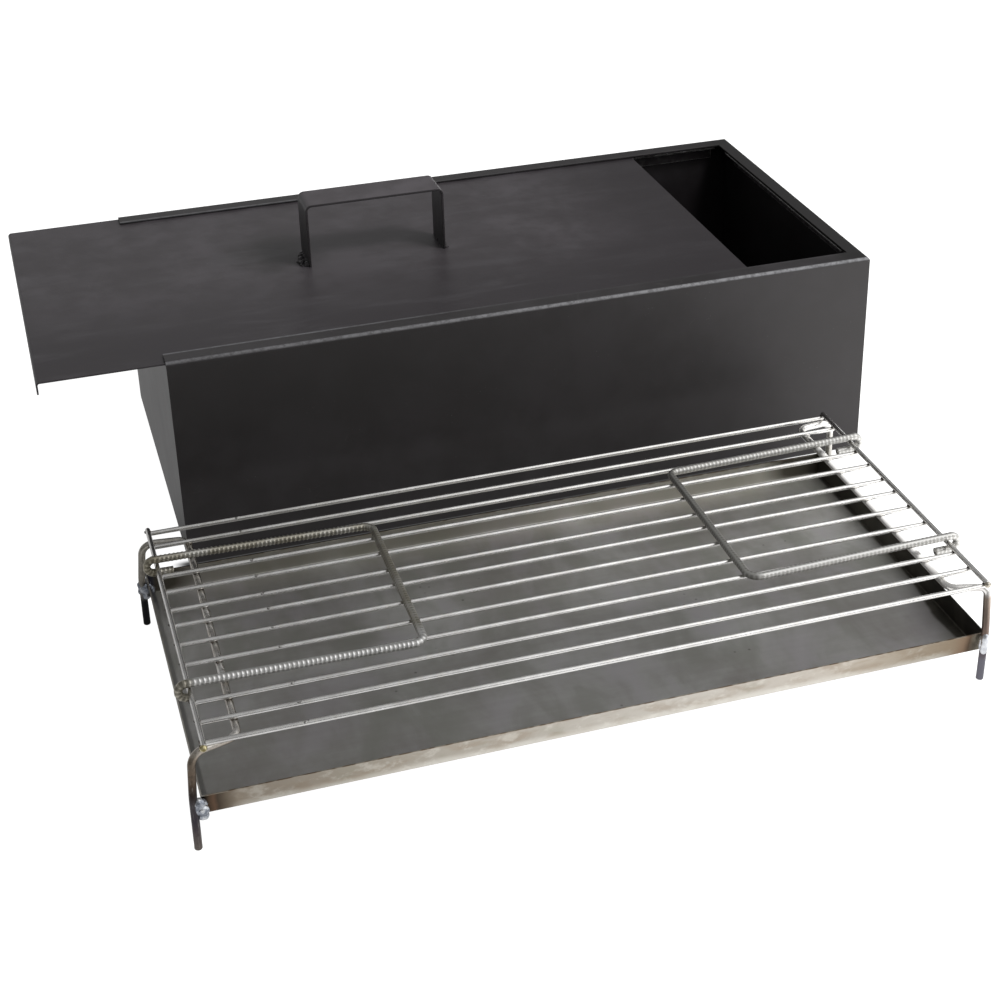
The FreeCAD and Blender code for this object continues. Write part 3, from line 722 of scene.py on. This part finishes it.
def burnt(g, bs):
    p = g.objco()
    n1 = g.noise(p, 500.0, 3.0, 0.6)
    c = g.colours(g.ramp01(n1, 0.30, 0.72), [(0.0, (0.022, 0.019, 0.018)), (0.5, (0.060, 0.050, 0.042)),
                                             (1.0, (0.17, 0.145, 0.115))])
    # painted light: the drops on the right crossbar are made as bright as the bar
    x = g.xyz(p)[0]
    clean = g.mul(g.ramp01(x, RX + 0.205, RX + 0.215), g.ramp01(x, RX + 0.2985, RX + 0.2955))
    c = g.mix(g.mul(clean, 0.9), c, (0.86, 0.85, 0.83))
    g.put(bs.inputs["Base Color"], c)
    bs.inputs["Metallic"].default_value = 0.8
    g.put(bs.inputs["Roughness"], g.add(0.34, g.mul(n1, 0.25)))
    g.put(bs.inputs["Normal"], g.bump(n1, 0.00010, 0.6))


def tack(g, bs):
    p = g.objco()
    n1 = g.noise(p, 700.0, 3.0, 0.6)
    g.put(bs.inputs["Base Color"], g.colours(g.ramp01(n1, 0.30, 0.72), [(0.0, (0.10, 0.095, 0.09)), (0.5, (0.26, 0.25, 0.24)),
                                                                        (1.0, (0.55, 0.54, 0.52))]))
    bs.inputs["Metallic"].default_value = 1.0
    g.put(bs.inputs["Roughness"], g.add(0.28, g.mul(n1, 0.20)))
    g.put(bs.inputs["Normal"], g.bump(n1, 0.00008, 0.6))


def ribbed(g, bs):
    p = g.objco()
    x, y, z = g.xyz(p)
    rib = g.attr("rib")
    n1 = g.noise(p, 45.0, 3.0, 0.6)
    n2 = g.noise(p, 800.0, 3.0, 0.6)
    right = g.ramp01(x, RX - 0.05, RX + 0.05)
    front = g.ramp01(y, RY - 0.060, RY - 0.078)
    # painted shade and highlight: the pockets between the ribs darker, the rib crowns lighter, and the front arms and
    # the right bail lighter still
    pocket_shade = g.mix(g.ramp01(n1, 0.35, 0.68), (0.225, 0.208, 0.168), (0.310, 0.300, 0.268))
    pocket_shade = g.mix(front, pocket_shade, (0.450, 0.445, 0.432))
    pocket_shade = g.mix(right, pocket_shade, (0.50, 0.49, 0.465))
    crown_light = g.mix(g.ramp01(n1, 0.38, 0.66), (0.37, 0.35, 0.295), (0.52, 0.51, 0.475))
    crown_light = g.mix(front, crown_light, (0.66, 0.66, 0.65))
    crown_light = g.mix(right, crown_light, (0.66, 0.655, 0.635))
    crown_light = g.mix(g.mul(g.ramp01(n2, 0.52, 0.76), 0.30), crown_light, (0.28, 0.26, 0.215))
    # both hooks on the left are browned
    hook = g.ramp01(x, XL + 0.006, XL - 0.002)
    crown_light = g.mix(g.mul(hook, 0.8), crown_light, (0.27, 0.245, 0.180))
    pocket_shade = g.mix(g.mul(hook, 0.8), pocket_shade, (0.125, 0.110, 0.075))
    # cross parts, where both bars were bent: darker
    mid_l = g.band(x, XL + 0.177, 0.004, 0.003)
    mid_r = g.band(x, XR - 0.172, 0.004, 0.003)
    dark = g.math("MAXIMUM", g.mul(mid_l, 0.10), g.mul(mid_r, 0.50))
    pocket_shade = g.mix(g.mul(mid_r, 0.6), pocket_shade, (0.17, 0.163, 0.145))
    crown_light = g.mix(dark, crown_light, (0.27, 0.262, 0.235))
    wob = g.add(rib, g.mul(g.sub(n2, 0.5), 0.22))
    g.put(bs.inputs["Base Color"], g.mix(g.ramp01(wob, 0.18, 0.62), pocket_shade, crown_light))
    bs.inputs["Metallic"].default_value = 1.0
    g.put(bs.inputs["Roughness"], g.sub(g.add(0.40, g.mul(n2, 0.12)), g.mul(g.ramp01(wob, 0.3, 0.9), 0.16)))
    g.put(bs.inputs["Normal"], g.bump(n2, 0.00005, 0.5))


# ----------------------------------------------------------------------------
# box and lid
# ----------------------------------------------------------------------------
STRAP_HI, STRAP_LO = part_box("lid_handle")[1].z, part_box("lid_handle")[0].y
M_POWDER = {k: material("powder_coat_" + k, powder(k)) for k in ("box", "lid", "strap", "rail")}

for node, name, body, width in (
        ("box_shell", "shell_skin", "box", 0.40), ("closed_end_wall", "closed_end_skin", "box", 0.35),
        ("open_end_wall", "open_end_skin", "box", 0.40), ("front_lid_rail", "front_rail_skin", "box", 0.35),
        ("rear_lid_rail", "rear_rail_skin", "box", 0.35), ("end_lid_rail", "end_rail_skin", "box", 0.35),
        ("lid_plate", "lid_skin", "lid", 0.40), ("lid_handle", "strap_skin", "lid", 0.45)):
    ob = skin(node, name, width * MM, segments=3)
    ob.data.materials.append(M_POWDER["rail" if "rail" in node else "strap" if node == "lid_handle" else body])
    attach(ob, body)
    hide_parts(node)

# weld beads at the outer side of both strap feet: short runs of overlapping drops
lo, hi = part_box("lid_handle")
rng = random.Random(11)
verts, faces = [], []
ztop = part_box("lid_plate")[1].z
for s, xf in ((-1, lo.x), (1, hi.x)):
    yy = lo.y + 4.0 * MM
    k = 0
    parts = []
    while yy < hi.y - 4.5 * MM:
        big = (1.12 if s < 0 else 0.9) + 0.34 * rng.uniform(-1, 1)
        parts.append(((xf + s * 0.8 * MM, yy, ztop + 0.45 * MM),
                      (2.7 * MM * big, 2.1 * MM * big, 2.4 * MM * big)))
        if s < 0:
            parts.append(((xf - rng.uniform(1.4, 3.0) * MM, yy + rng.uniform(-1, 1) * MM, ztop + 0.2 * MM),
                          (rng.uniform(1.7, 2.5) * MM, rng.uniform(1.5, 2.3) * MM, rng.uniform(1.0, 2.0) * MM)))
            parts.append(((xf + 0.2 * MM, yy, ztop + rng.uniform(1.5, 3.2) * MM),
                          (rng.uniform(1.2, 1.8) * MM, 1.8 * MM, rng.uniform(1.2, 2.0) * MM)))
        yy += 2.6 * MM
        k += 1
    if s < 0:
        for a, b, c, r in ((4.6, 0.30, 0.6, 3.6), (6.6, 0.42, 0.2, 2.6), (3.8, 0.52, 1.4, 3.2), (5.4, 0.18, 0.0, 2.4), (3.0, 0.72, 1.0, 2.8)):
            parts.append(((xf - a * MM, lo.y + b * (hi.y - lo.y), ztop + c * MM), (r * MM, r * 1.1 * MM, r * 0.85 * MM)))
    v, f = blob(parts, 3 + s, 0.85 * MM, 360.0, 2)
    n = len(verts)
    verts += v
    faces += [tuple(i + n for i in q) for q in f]
beads = remeshed("strap_weld_beads", verts, faces, 0.30 * MM, 1)
beads.data.materials.append(M_POWDER["strap"])
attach(beads, "lid")
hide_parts("lid_handle_welds")

# ----------------------------------------------------------------------------
# rack: rods
# ----------------------------------------------------------------------------
RX, RY = -0.056, -0.3898
WY = [146.5, 124.0, 102.3, 76.9, 52.6, 25.9, 4.0, -22.3, -49.4, -73.8, -97.8, -122.3, -146.4]
WY = [RY + v * MM for v in WY]
WIRE_Z, ROD_Z, CROSS_Z, KNEE_Z = 82.3 * MM, 86.05 * MM, 77.55 * MM, 44.0 * MM
XL, XR = RX - 0.306, RX + 0.306
# corners of the two leg frames: foot, knee, top, inner, inner, top, knee, foot; with the bend radii
FRAMES = {
    "left": (((-318.6, -157.0), (-318.0, -154.6), (-315.2, -149.0), (-280.4, -138.8),
              (-275.6, 135.0), (-312.6, 139.5), (-316.4, 139.6), (-316.8, 138.8)), (60.0, 11.0, 10.0, 10.0, 11.0, 60.0)),
    "right": (((304.5, -155.2), (305.4, -154.8), (310.6, -143.0), (281.4, -134.5),
               (280.0, 141.4), (313.4, 145.4), (313.6, 145.4), (313.2, 145.0)), (60.0, 5.5, 9.5, 9.5, 9.5, 60.0))}


def cross_x(side, y):
    """X where the wire at y crosses a leg frame's rod, or None where it passes clear of it."""
    f = FRAMES[side][0]
    v = (y - RY) / MM
    for a, b in ((3, 4), (2, 3), (4, 5)):
        (xa, ya), (xb, yb) = f[a], f[b]
        if min(ya, yb) <= v <= max(ya, yb):
            return RX + (xa + (xb - xa) * (v - ya) / (yb - ya)) * MM
    return None


def fall(d, near, far):
    t = np.clip((far - d) / (far - near), 0, 1)
    return t * t * (3 - 2 * t)


M_WIRE_X = material("wire_finish", wire("x"))
M_WIRE_Y = material("end_rod_finish", wire("y"))
M_LEG = material("leg_finish", leg)
M_BURNT = material("burnt_weld_finish", burnt)

for i, y in enumerate(WY):
    node = "grill_wire_%02d" % (i + 1)
    lo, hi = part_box(node)
    x = lo.x
    xs = list(np.arange(lo.x, hi.x, 4.0 * MM)) + [hi.x]
    cl, cr = cross_x("left", y), cross_x("right", y)
    spots = [(XL, 0.95, 7.5), (XR, 1.0, 7.0)]
    spots += [(c, a, r) for c, a, r in ((cl, 0.85, 5.0), (cr, 0.90, 6.0)) if c is not None]
    for c, _, _ in spots:
        xs += [c + d * MM for d in (-4, -3, -2, -1.2, -0.5, 0.3, 1, 1.8, 2.6, 3.5, 4.6)]
    xs = sorted(v for v in set(round(v, 6) for v in xs) if lo.x <= v <= hi.x)
    seed = 40.0 + i * 3.7
    path = []
    for v in xs:
        w = min(1.0, (v - lo.x) / 0.03, (hi.x - v) / 0.03)
        dy = noise.noise(Vector((v * 9.0, seed, 0.0))) * 0.10 * MM * w
        dz = noise.noise(Vector((v * 9.0, seed, 5.0))) * 0.05 * MM * w
        path.append((v, y + dy, WIRE_Z + dz))
    path = dense_ends(path, 0.6 * MM)
    ob, s = tube("rack_wire_%02d" % (i + 1), path, lambda s, a: 2.0 * MM + 0 * s, sides=20, round_ends=0.6 * MM)
    c = coords(ob)
    h = np.zeros(len(c))
    for cx, amp, reach in spots:
        h = np.maximum(h, amp * fall(np.abs(c[:, 0] - cx) / MM, 0.8, reach))
    paint(ob, "heat", h)
    ob.data.materials.append(M_WIRE_X)
    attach(ob, "rack")
    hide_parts(node)

for node, name, x in (("left_end_rod", "rack_left_rod", XL), ("right_end_rod", "rack_right_rod", XR)):
    lo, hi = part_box(node)
    ys = list(np.arange(lo.y, hi.y, 2.0 * MM)) + [hi.y]
    path = dense_ends([(x, v, ROD_Z) for v in sorted(set(ys))], 0.8 * MM)
    ob, s = tube(name, path, lambda s, a: 2.0 * MM + 0 * s, sides=22, round_ends=0.8 * MM)
    c = coords(ob)
    d = np.min(np.abs(c[:, 1][:, None] - np.array(WY)[None, :]), axis=1) / MM
    under = np.clip((ROD_Z - c[:, 2]) / (2.0 * MM), -1, 1) * 0.5 + 0.5
    h = fall(d, 0.5, 5.0) * (0.15 + 0.85 * under)
    h = np.maximum(h, 0.50 * fall(np.abs(c[:, 1] - lo.y) / MM, 0.0, 8.0))
    paint(ob, "heat", h)
    ob.data.materials.append(M_WIRE_Y)
    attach(ob, "rack")
    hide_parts(node)

for side in ("left", "right"):
    f, rad = FRAMES[side]

    def below(knee, foot):
        return (foot[0], foot[1], 0.0)

    pts = [below(f[1], f[0]), (*f[1], KNEE_Z / MM), (*f[2], CROSS_Z / MM), (*f[3], CROSS_Z / MM), (*f[4], CROSS_Z / MM),
           (*f[5], CROSS_Z / MM), (*f[6], KNEE_Z / MM), below(f[6], f[7])]
    pts = [(RX + q[0] * MM, RY + q[1] * MM, q[2] * MM) for q in pts]
    path = dense_ends(rounded_path(pts, [r * MM for r in rad], 2.0 * MM), 1.2 * MM)
    ob, s = tube("rack_%s_legs" % side, path, lambda s, a: 3.0 * MM + 0 * s, sides=24, up=(1, 0, 0), round_ends=1.2 * MM)
    c = coords(ob)
    k = np.argmin(np.abs(c[:, 1][:, None] - np.array(WY)[None, :]), axis=1)
    cx = np.array([cross_x(side, v) or 9.0 for v in WY])[k]
    d = np.hypot(c[:, 1] - np.array(WY)[k], 0.35 * (c[:, 0] - cx)) / MM
    up = np.clip((c[:, 2] - CROSS_Z) / (3 * MM), -1, 1) * 0.5 + 0.5
    # heat marks at each wire crossing, with painted contact shade under the wire
    h = fall(d, 0.6, 4.5) * (0.1 + 0.9 * up) * (c[:, 2] > 0.07)
    paint(ob, "heat", h)
    ob.data.materials.append(M_LEG)
    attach(ob, "rack")
    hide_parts(side + "_leg_frame")

# small weld lumps at every crossing, and the row of tacks left beside the left crossbar
rng = random.Random(5)
verts, faces = [], []


def drop(parts, rough=0.22, scale=900.0, detail=2):
    v, f = blob(parts, rng.uniform(0, 9), rough * MM, scale, detail)
    n = len(verts)
    verts.extend(v)
    faces.extend(tuple(i + n for i in q) for q in f)


for i, y in enumerate(WY):
    for xr, s in ((XL, 1), (XR, -1)):
        zc = 0.5 * (WIRE_Z + ROD_Z) - 0.1 * MM
        for t in (1.0, -1.0):
            k = rng.uniform(0.8, 1.25)
            drop([((xr + t * 1.5 * MM, y + rng.uniform(-0.5, 0.5) * MM, zc),
                   (1.15 * MM * k, 1.75 * MM * k, 0.95 * MM * k))])
    for xr in (cross_x("left", y), cross_x("right", y)):
        for t in (1.0, -1.0) if xr is not None else ():
            k = rng.uniform(0.75, 1.2)
            drop([((xr + t * 1.7 * MM, y + rng.uniform(-0.5, 0.5) * MM, 80.15 * MM),
                   (1.2 * MM * k, 1.6 * MM * k, 0.8 * MM * k))])
nubs = new_object("rack_weld_drops", verts, faces)
nubs.data.materials.append(M_BURNT)
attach(nubs, "rack")

verts, faces = [], []
for i, y in enumerate(WY):
    x = RX - 0.2325 + rng.uniform(-0.8, 0.8) * MM
    k = rng.uniform(0.8, 1.2)
    drop([((x, y - 0.9 * MM, WIRE_Z + 1.1 * MM), (1.7 * MM * k, 0.95 * MM, 0.95 * MM)),
          ((x + rng.uniform(1.2, 2.4) * MM, y - 0.3 * MM, WIRE_Z + 1.35 * MM), (1.1 * MM * k, 0.8 * MM, 0.75 * MM))], 0.18)
tacks = new_object("rack_tack_marks", verts, faces)
tacks.data.materials.append(material("tack_finish", tack))
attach(tacks, "rack")

# ----------------------------------------------------------------------------
# tray and the welds that hang it in the legs
# ----------------------------------------------------------------------------
lo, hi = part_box("drip_tray")
TRAY["lo"], TRAY["hi"] = tuple(lo), tuple(hi)
# inner corners of the floor
TRAY["floor_lo"] = (RX - 306.4 * MM, RY - 146.8 * MM, lo.z + 1.2 * MM)
TRAY["floor_hi"] = (RX + 305.2 * MM, RY + 148.4 * MM, lo.z + 1.2 * MM)
M_TRAY_OUT = material("tray_outside_finish", tray_out)
M_TRAY_IN = material("tray_inside_finish", tray_in)
M_WELD = material("weld_steel_finish", weld)
M_GILT = material("straw_weld_finish", gilt)
pan = skin("drip_tray", "tray_skin", 0.30 * MM, segments=2)
pan.data.materials.append(M_TRAY_OUT)
pan.data.materials.append(M_TRAY_IN)
mid = (lo + hi) / 2
for f in pan.data.polygons:
    n, c = f.normal, f.center
    inwards = n.x * (mid.x - c.x) / abs(mid.x - c.x + 1e-9) + n.y * (mid.y - c.y) / abs(mid.y - c.y + 1e-9)
    flat = max(abs(n.x), abs(n.y))
    if c.z < hi.z - 0.15 * MM and (n.z > 0.55 and c.z < lo.z + 2.5 * MM or (flat > 0.25 and inwards > 0 and n.z > -0.1)):
        f.material_index = 1
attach(pan, "rack")
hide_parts("drip_tray")

# corner lumps: lobes (x, y, z, rx, ry, rz) in millimetres from the rack's middle; front left, front right, rear left, rear right
LOBES = (
    ((-314.2, -155.4, 38.4, 4.4, 3.5, 4.4), (-312.6, -155.6, 32.0, 5.4, 3.5, 4.6), (-312.0, -155.0, 26.6, 4.2, 3.0, 3.4),
     (-310.6, -152.8, 33.5, 2.6, 2.8, 6.2), (-316.4, -155.2, 34.4, 2.8, 3.2, 5.0)),
    ((305.0, -156.4, 37.2, 3.1, 2.9, 6.6), (304.8, -156.5, 33.6, 3.2, 2.9, 7.4), (304.5, -156.3, 30.2, 3.1, 2.8, 6.2),
     (303.2, -154.0, 33.5, 2.2, 2.8, 7.2)),
    ((-314.7, 138.2, 34.6, 4.6, 3.3, 5.6), (-314.4, 138.6, 29.0, 4.0, 3.1, 4.4), (-317.0, 140.4, 37.6, 4.0, 3.7, 4.2), (-316.6, 141.6, 31.8, 4.2, 4.1, 4.0), (-316.0, 141.0, 27.0, 3.6, 3.4, 3.2),
     (-312.4, 139.2, 35.0, 3.8, 3.2, 4.6), (-309.8, 140.2, 32.6, 3.2, 3.0, 4.4), (-313.6, 138.6, 29.4, 3.4, 2.8, 3.6),
     (-312.6, 146.4, 35.6, 2.8, 4.4, 3.8), (-310.8, 149.0, 30.6, 2.4, 4.2, 3.6)),
    ((310.9, 147.0, 36.4, 3.4, 3.3, 3.2), (310.6, 147.6, 31.4, 3.4, 3.4, 3.4), (310.4, 147.2, 27.4, 2.8, 2.8, 2.4)))
rng = random.Random(21)
verts, faces = [], []
for lump in LOBES:
    parts = [((RX + a * MM, RY + b * MM, c * MM), (d * MM, e * MM, f * MM)) for a, b, c, d, e, f in lump]
    drop(parts, 0.30 if lump is LOBES[1] else 0.55, 330.0, 3)
lumps = remeshed("tray_weld_lumps", verts, faces, 0.34 * MM, 1)
lumps.data.materials.append(M_WELD)
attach(lumps, "rack")
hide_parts("tray_corner_welds")

# last weld drop at the front end of both end rods
verts, faces = [], []
for x, yv, k in ((XL - 0.7 * MM, -155.6, 1.0), (XR, -149.8, 0.95)):
    drop([((x, RY + yv * MM, ROD_Z - 0.8 * MM), (2.8 * MM * k, 2.6 * MM * k, 2.7 * MM * k)),
          ((x + 0.8 * MM, RY + (yv + 2.3) * MM, ROD_Z - 1.5 * MM), (2.2 * MM * k, 2.2 * MM * k, 2.1 * MM * k))], 0.4, 600.0, 3)
ends = remeshed("rack_end_drops", verts, faces, 0.26 * MM, 1)
ends.data.materials.append(M_GILT)
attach(ends, "rack")

# ----------------------------------------------------------------------------
# handles of the rack, bent from ribbed bar
# ----------------------------------------------------------------------------
M_RIB = material("ribbed_steel_finish", ribbed)
END_R, BAIL_R, CLEAR, HOOK_R = 2.0 * MM, 3.3 * MM, 0.35 * MM, 6.0 * MM
WIRE_TOP = WIRE_Z + 2.0 * MM


def bail(name, node, body, x0, s, length, r_rear, r_front, tails, crisp, up):
    za = ROD_Z + END_R + BAIL_R + CLEAR
    zc = WIRE_TOP + BAIL_R + CLEAR
    slope = math.atan2(za - zc, length)
    ux, uz, nx, nz = math.cos(slope), -math.sin(slope), math.sin(slope), math.cos(slope)
    back = 2.0 * MM
    yr, yf = RY + 89.6 * MM, RY - 85.8 * MM

    def P(a, n, y):
        return np.array((x0 + s * (ux * a + nx * n), y, za + uz * a + nz * n))

    def hook(y, tail):
        return (P(tail - back, -2 * HOOK_R, y), P(-back, -2 * HOOK_R, y), P(-back - HOOK_R, -HOOK_R, y), P(-back, 0, y))

    st = 0.5 * MM
    ta, lo_, mi, hi_ = hook(yr, tails[0] * MM)
    tb, lo2, mi2, hi2 = hook(yf, tails[1] * MM)
    reach = length / ux
    cr, cf = P(reach, 0, yr), P(reach, 0, yf)
    d = (cr - hi_) / np.linalg.norm(cr - hi_)
    yv = np.array((0.0, 1.0, 0.0))
    a0, a1 = cr - d * r_rear, cr - yv * r_rear
    m0 = cr - d * r_rear - yv * r_rear
    am = m0 + (cr - m0) / np.linalg.norm(cr - m0) * r_rear
    b0, b1 = cf + yv * r_front, cf - d * r_front
    m1 = cf - d * r_front + yv * r_front
    bm_ = m1 + (cf - m1) / np.linalg.norm(cf - m1) * r_front
    path = [ta]
    marks = []
    path += line3(ta, lo_, st)
    path += arc3(lo_, mi, hi_, st)
    marks.append(len(path))
    path += line3(hi_, a0, st)
    marks.append(len(path))
    path += arc3(a0, am, a1, st)
    path += line3(a1, b0, st)
    path += arc3(b0, bm_, b1, st)
    marks.append(len(path))
    path += line3(b1, hi2, st)
    marks.append(len(path))
    path += arc3(hi2, mi2, lo2, st)
    path += line3(lo2, tb, st)
    path = np.array(path)
    seg = np.linalg.norm(np.diff(path, axis=0), axis=1)
    sl = np.concatenate([[0], np.cumsum(seg)])
    # ribs stand lower where the bar was bent and along the cross part
    keep = np.ones(len(path))
    keep[:] = crisp
    keep[:marks[0]] = 0.45 * crisp
    keep[marks[1]:marks[2]] = 0.55 * crisp + 0.12
    keep[marks[3]:] = 0.45 * crisp
    k = np.ones(21) / 21
    keep = np.convolve(np.pad(keep, 10, mode="edge"), k, "valid")
    pitch = 3.45 * MM
    core, ht, hl = 2.88 * MM, 0.38 * MM, 0.40 * MM
    tops = {}

    def radius(S, A):
        K = np.interp(S, sl, keep)
        half = A % math.pi                     # between the two long ribs
        mid = np.sin(half)
        side = np.where((A % (2 * math.pi)) < math.pi, 0.0, 0.5)
        ph = S / pitch + (half - math.pi / 2) / math.pi * 0.12 * np.where(side > 0, -1, 1) + side
        ph = ph + 0.05 * np.sin(S * 97.0) + 0.03 * np.sin(S * 231.0 + 1.0)
        w = 0.5 + 0.5 * np.cos(2 * math.pi * ph)
        trans = np.clip((w - 0.50) / 0.34, 0, 1)
        trans = trans * trans * (3 - 2 * trans) * np.clip(mid * 1.6, 0, 1)
        lng = np.clip(1 - (np.minimum(half, math.pi - half) - 0.10) / 0.28, 0, 1)
        lng = lng * lng * (3 - 2 * lng)
        wear = 1 + 0.10 * np.sin(S * 310.0) + 0.07 * np.sin(S * 1270.0 + A)
        r = core + 0.24 * MM * (1 - K) + K * np.maximum(ht * trans * wear, hl * lng)
        tops["rib"] = 0.5 + (np.clip(np.maximum(trans, lng), 0, 1) - 0.5) * (0.25 + 0.75 * K)
        return np.minimum(r, BAIL_R)

    ob, _ = tube(name, path, radius, sides=30, up=up)
    paint(ob, "rib", tops["rib"].ravel())
    ob.data.materials.append(M_RIB)
    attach(ob, body)
    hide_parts(node)
    return ob


# the path starts at the rear tail, which runs outwards under the rod; the long ribs' side there
bail("left_bail", "left_handle", "left_handle", XL, 1, 0.177, 8 * MM, 9 * MM, (15.0, 4.0), 1.0, (0.0, -0.49, -0.87))
bail("right_bail", "right_handle", "right_handle", XR, -1, 0.172, 7 * MM, 11 * MM, (15.0, 13.0), 0.38, (0.0, 0.49, -0.87))

# ----------------------------------------------------------------------------
# floor, light, camera
# ----------------------------------------------------------------------------


def floor_mat(g):
    """Pale floor that glows. Seen directly it is near white, with a painted shadow in the slit between box and rack;
    what it gives the object back is painted light that falls off to the left, rises to the right and is shaded between
    box and rack.
    """
    out = g.node("ShaderNodeOutputMaterial")
    em = g.node("ShaderNodeEmission")
    em.inputs["Color"].default_value = (1.0, 1.0, 1.0, 1.0)
    p = g.objco()
    x, y, z = g.xyz(p)
    lp = g.node("ShaderNodeLightPath")
    seen = lp.outputs["Is Camera Ray"]
    # painted shade: between box and rack the floor gives back little light
    gap_shade = g.mul(g.mul(g.ramp01(y, -0.50, -0.36), g.ramp01(y, -0.02, -0.14)), g.ramp01(x, 0.30, 0.10))
    # painted light: what the floor gives back is weaker to the left and stronger to the right
    back = g.mul(g.sub(1.0, g.mul(gap_shade, 0.50)), g.ramp01(x, -0.62, 0.10, 0.55, 0.80))
    back = g.add(back, g.ramp01(x, 0.24, 0.42, 0.0, 1.0))
    # painted shadow on the floor in the slit between box and rack, also where the camera sees it
    slit_shadow = g.mul(g.mul(g.ramp01(y, -0.256, -0.246), g.ramp01(y, -0.160, -0.168)),
                 g.mul(g.ramp01(x, -0.345, -0.326), g.ramp01(x, 0.262, 0.235)))
    seen_ = g.mul(seen, g.sub(1.0, g.mul(slit_shadow, 0.93)))
    g.put(em.inputs["Strength"], g.add(seen_, g.mul(g.sub(1.0, seen), back)))
    df = g.node("ShaderNodeBsdfDiffuse")
    n = g.noise(p, 3.0, 2.0)
    g.put(df.inputs["Color"], g.mix(g.mul(slit_shadow, 0.9), g.mix(n, (0.20, 0.20, 0.20), (0.22, 0.22, 0.22)), (0.02, 0.02, 0.02)))
    ad = g.node("ShaderNodeAddShader")
    g.t.links.new(em.outputs[0], ad.inputs[0])
    g.t.links.new(df.outputs[0], ad.inputs[1])
    g.t.links.new(ad.outputs[0], out.inputs[0])


fm = bpy.data.materials.new("studio_floor")
fm.use_nodes = True
floor_mat(Graph(fm.node_tree))
try:
    fm.cycles.emission_sampling = "NONE"
except Exception:
    pass
v = [(-14, -14, 0), (14, -14, 0), (14, 14, 0), (-14, 14, 0)]
floor = new_object("floor", v, [(0, 1, 2, 3)], False)
floor.location.z = -0.0002
floor.data.materials.append(fm)

world = bpy.data.worlds.new("studio")
SCENE.world = world
world.use_nodes = True
g = Graph(world.node_tree)
wo = g.node("ShaderNodeOutputWorld")
bg = g.node("ShaderNodeBackground")
g.t.links.new(bg.outputs[0], wo.inputs[0])
D = g.vmath("NORMALIZE", g.node("ShaderNodeTexCoord").outputs["Generated"])
dx, dy, dz = g.xyz(D)


def unit(*v):
    v = np.array(v, float)
    return tuple(v / np.linalg.norm(v))


def lobe(direction, inner, outer, strength):
    d = g.dot(D, unit(*direction))
    return g.mul(g.ramp01(d, math.cos(math.radians(outer)), math.cos(math.radians(inner))), strength)


def between(v, a, b, c, d, strength):
    """Rises from a to b, falls from c to d."""
    return g.mul(g.mul(g.ramp01(v, a, b), g.ramp01(v, c, d, 1.0, 0.0)), strength)


sweep = g.mul(between(dz, -0.30, -0.05, 0.34, 0.50, 0.72), g.ramp01(dy, 0.0, 0.45))
light = g.add(0.06, g.mul(sweep, g.ramp01(dx, 0.20, 0.38, 1.0, 0.06)))
high = g.mul(g.ramp01(dz, 0.49, 0.60), g.ramp01(dy, -0.15, 0.35))
light = g.add(light, g.mul(high, g.ramp01(dx, 0.05, 0.36, 0.34, 0.46)))
fore = g.mul(g.ramp01(dy, 0.35, -0.15), g.ramp01(dz, 0.10, 0.42))
light = g.add(light, g.mul(fore, g.ramp01(dx, 0.13, 0.33, 0.42, 1.60)))
light = g.add(light, lobe((1.0, 0.0, 0.20), 28, 60, 0.40))
light = g.mul(light, g.ramp01(dx, -0.55, -0.05, 0.75, 1.0))
lp = g.node("ShaderNodeLightPath")
cam_white = g.mix(lp.outputs["Is Camera Ray"], light, (1.0, 1.0, 1.0))
g.put(bg.inputs["Color"], cam_white)
bg.inputs["Strength"].default_value = 1.0


def softbox(name, at, to, size, power, colour=(1, 1, 1)):
    ld = bpy.data.lights.new(name, "AREA")
    ld.shape = "RECTANGLE"
    ld.size, ld.size_y = size
    ld.energy = power
    ld.color = colour
    ob = bpy.data.objects.new(name, ld)
    ob.location = at
    ob.rotation_euler = (Vector(to) - Vector(at)).to_track_quat("-Z", "Y").to_euler()
    SCENE.collection.objects.link(ob)
    return ob


key = softbox("key", (0.66, -0.68, 1.46), (-0.10, 0.0, 0.20), (0.38, 0.38), 36.0)
key.visible_glossy = False
key.visible_camera = False

# camera at the photograph's angle
yaw, pitch, roll = -0.291334, 0.483902, 0.022592
at = np.array((-0.44803, -1.61228, 0.90210))
fwd = np.array((-math.sin(yaw) * math.cos(pitch), math.cos(yaw) * math.cos(pitch), -math.sin(pitch)))
right = np.array((math.cos(yaw), math.sin(yaw), 0.0))
down = np.cross(fwd, right)
r2 = math.cos(roll) * right + math.sin(roll) * down
d2 = -math.sin(roll) * right + math.cos(roll) * down
cam = bpy.data.cameras.new("camera")
cam.sensor_width = 36.0
cam.sensor_fit = "AUTO"
cam.lens = 67.9018
cam.shift_x = -0.02
cam.shift_y = -0.10
cam.clip_start = 0.02
cam.clip_end = 100.0
co = bpy.data.objects.new("camera", cam)
rot = Matrix(((r2[0], -d2[0], -fwd[0]), (r2[1], -d2[1], -fwd[1]), (r2[2], -d2[2], -fwd[2])))
co.matrix_world = Matrix.Translation(Vector(at)) @ rot.to_4x4()
SCENE.collection.objects.link(co)
SCENE.camera = co

SCENE.view_settings.view_transform = "Standard"
SCENE.view_settings.look = "None"
SCENE.view_settings.exposure = 0.0
SCENE.view_settings.gamma = 1.0

bpy.context.view_layer.update()
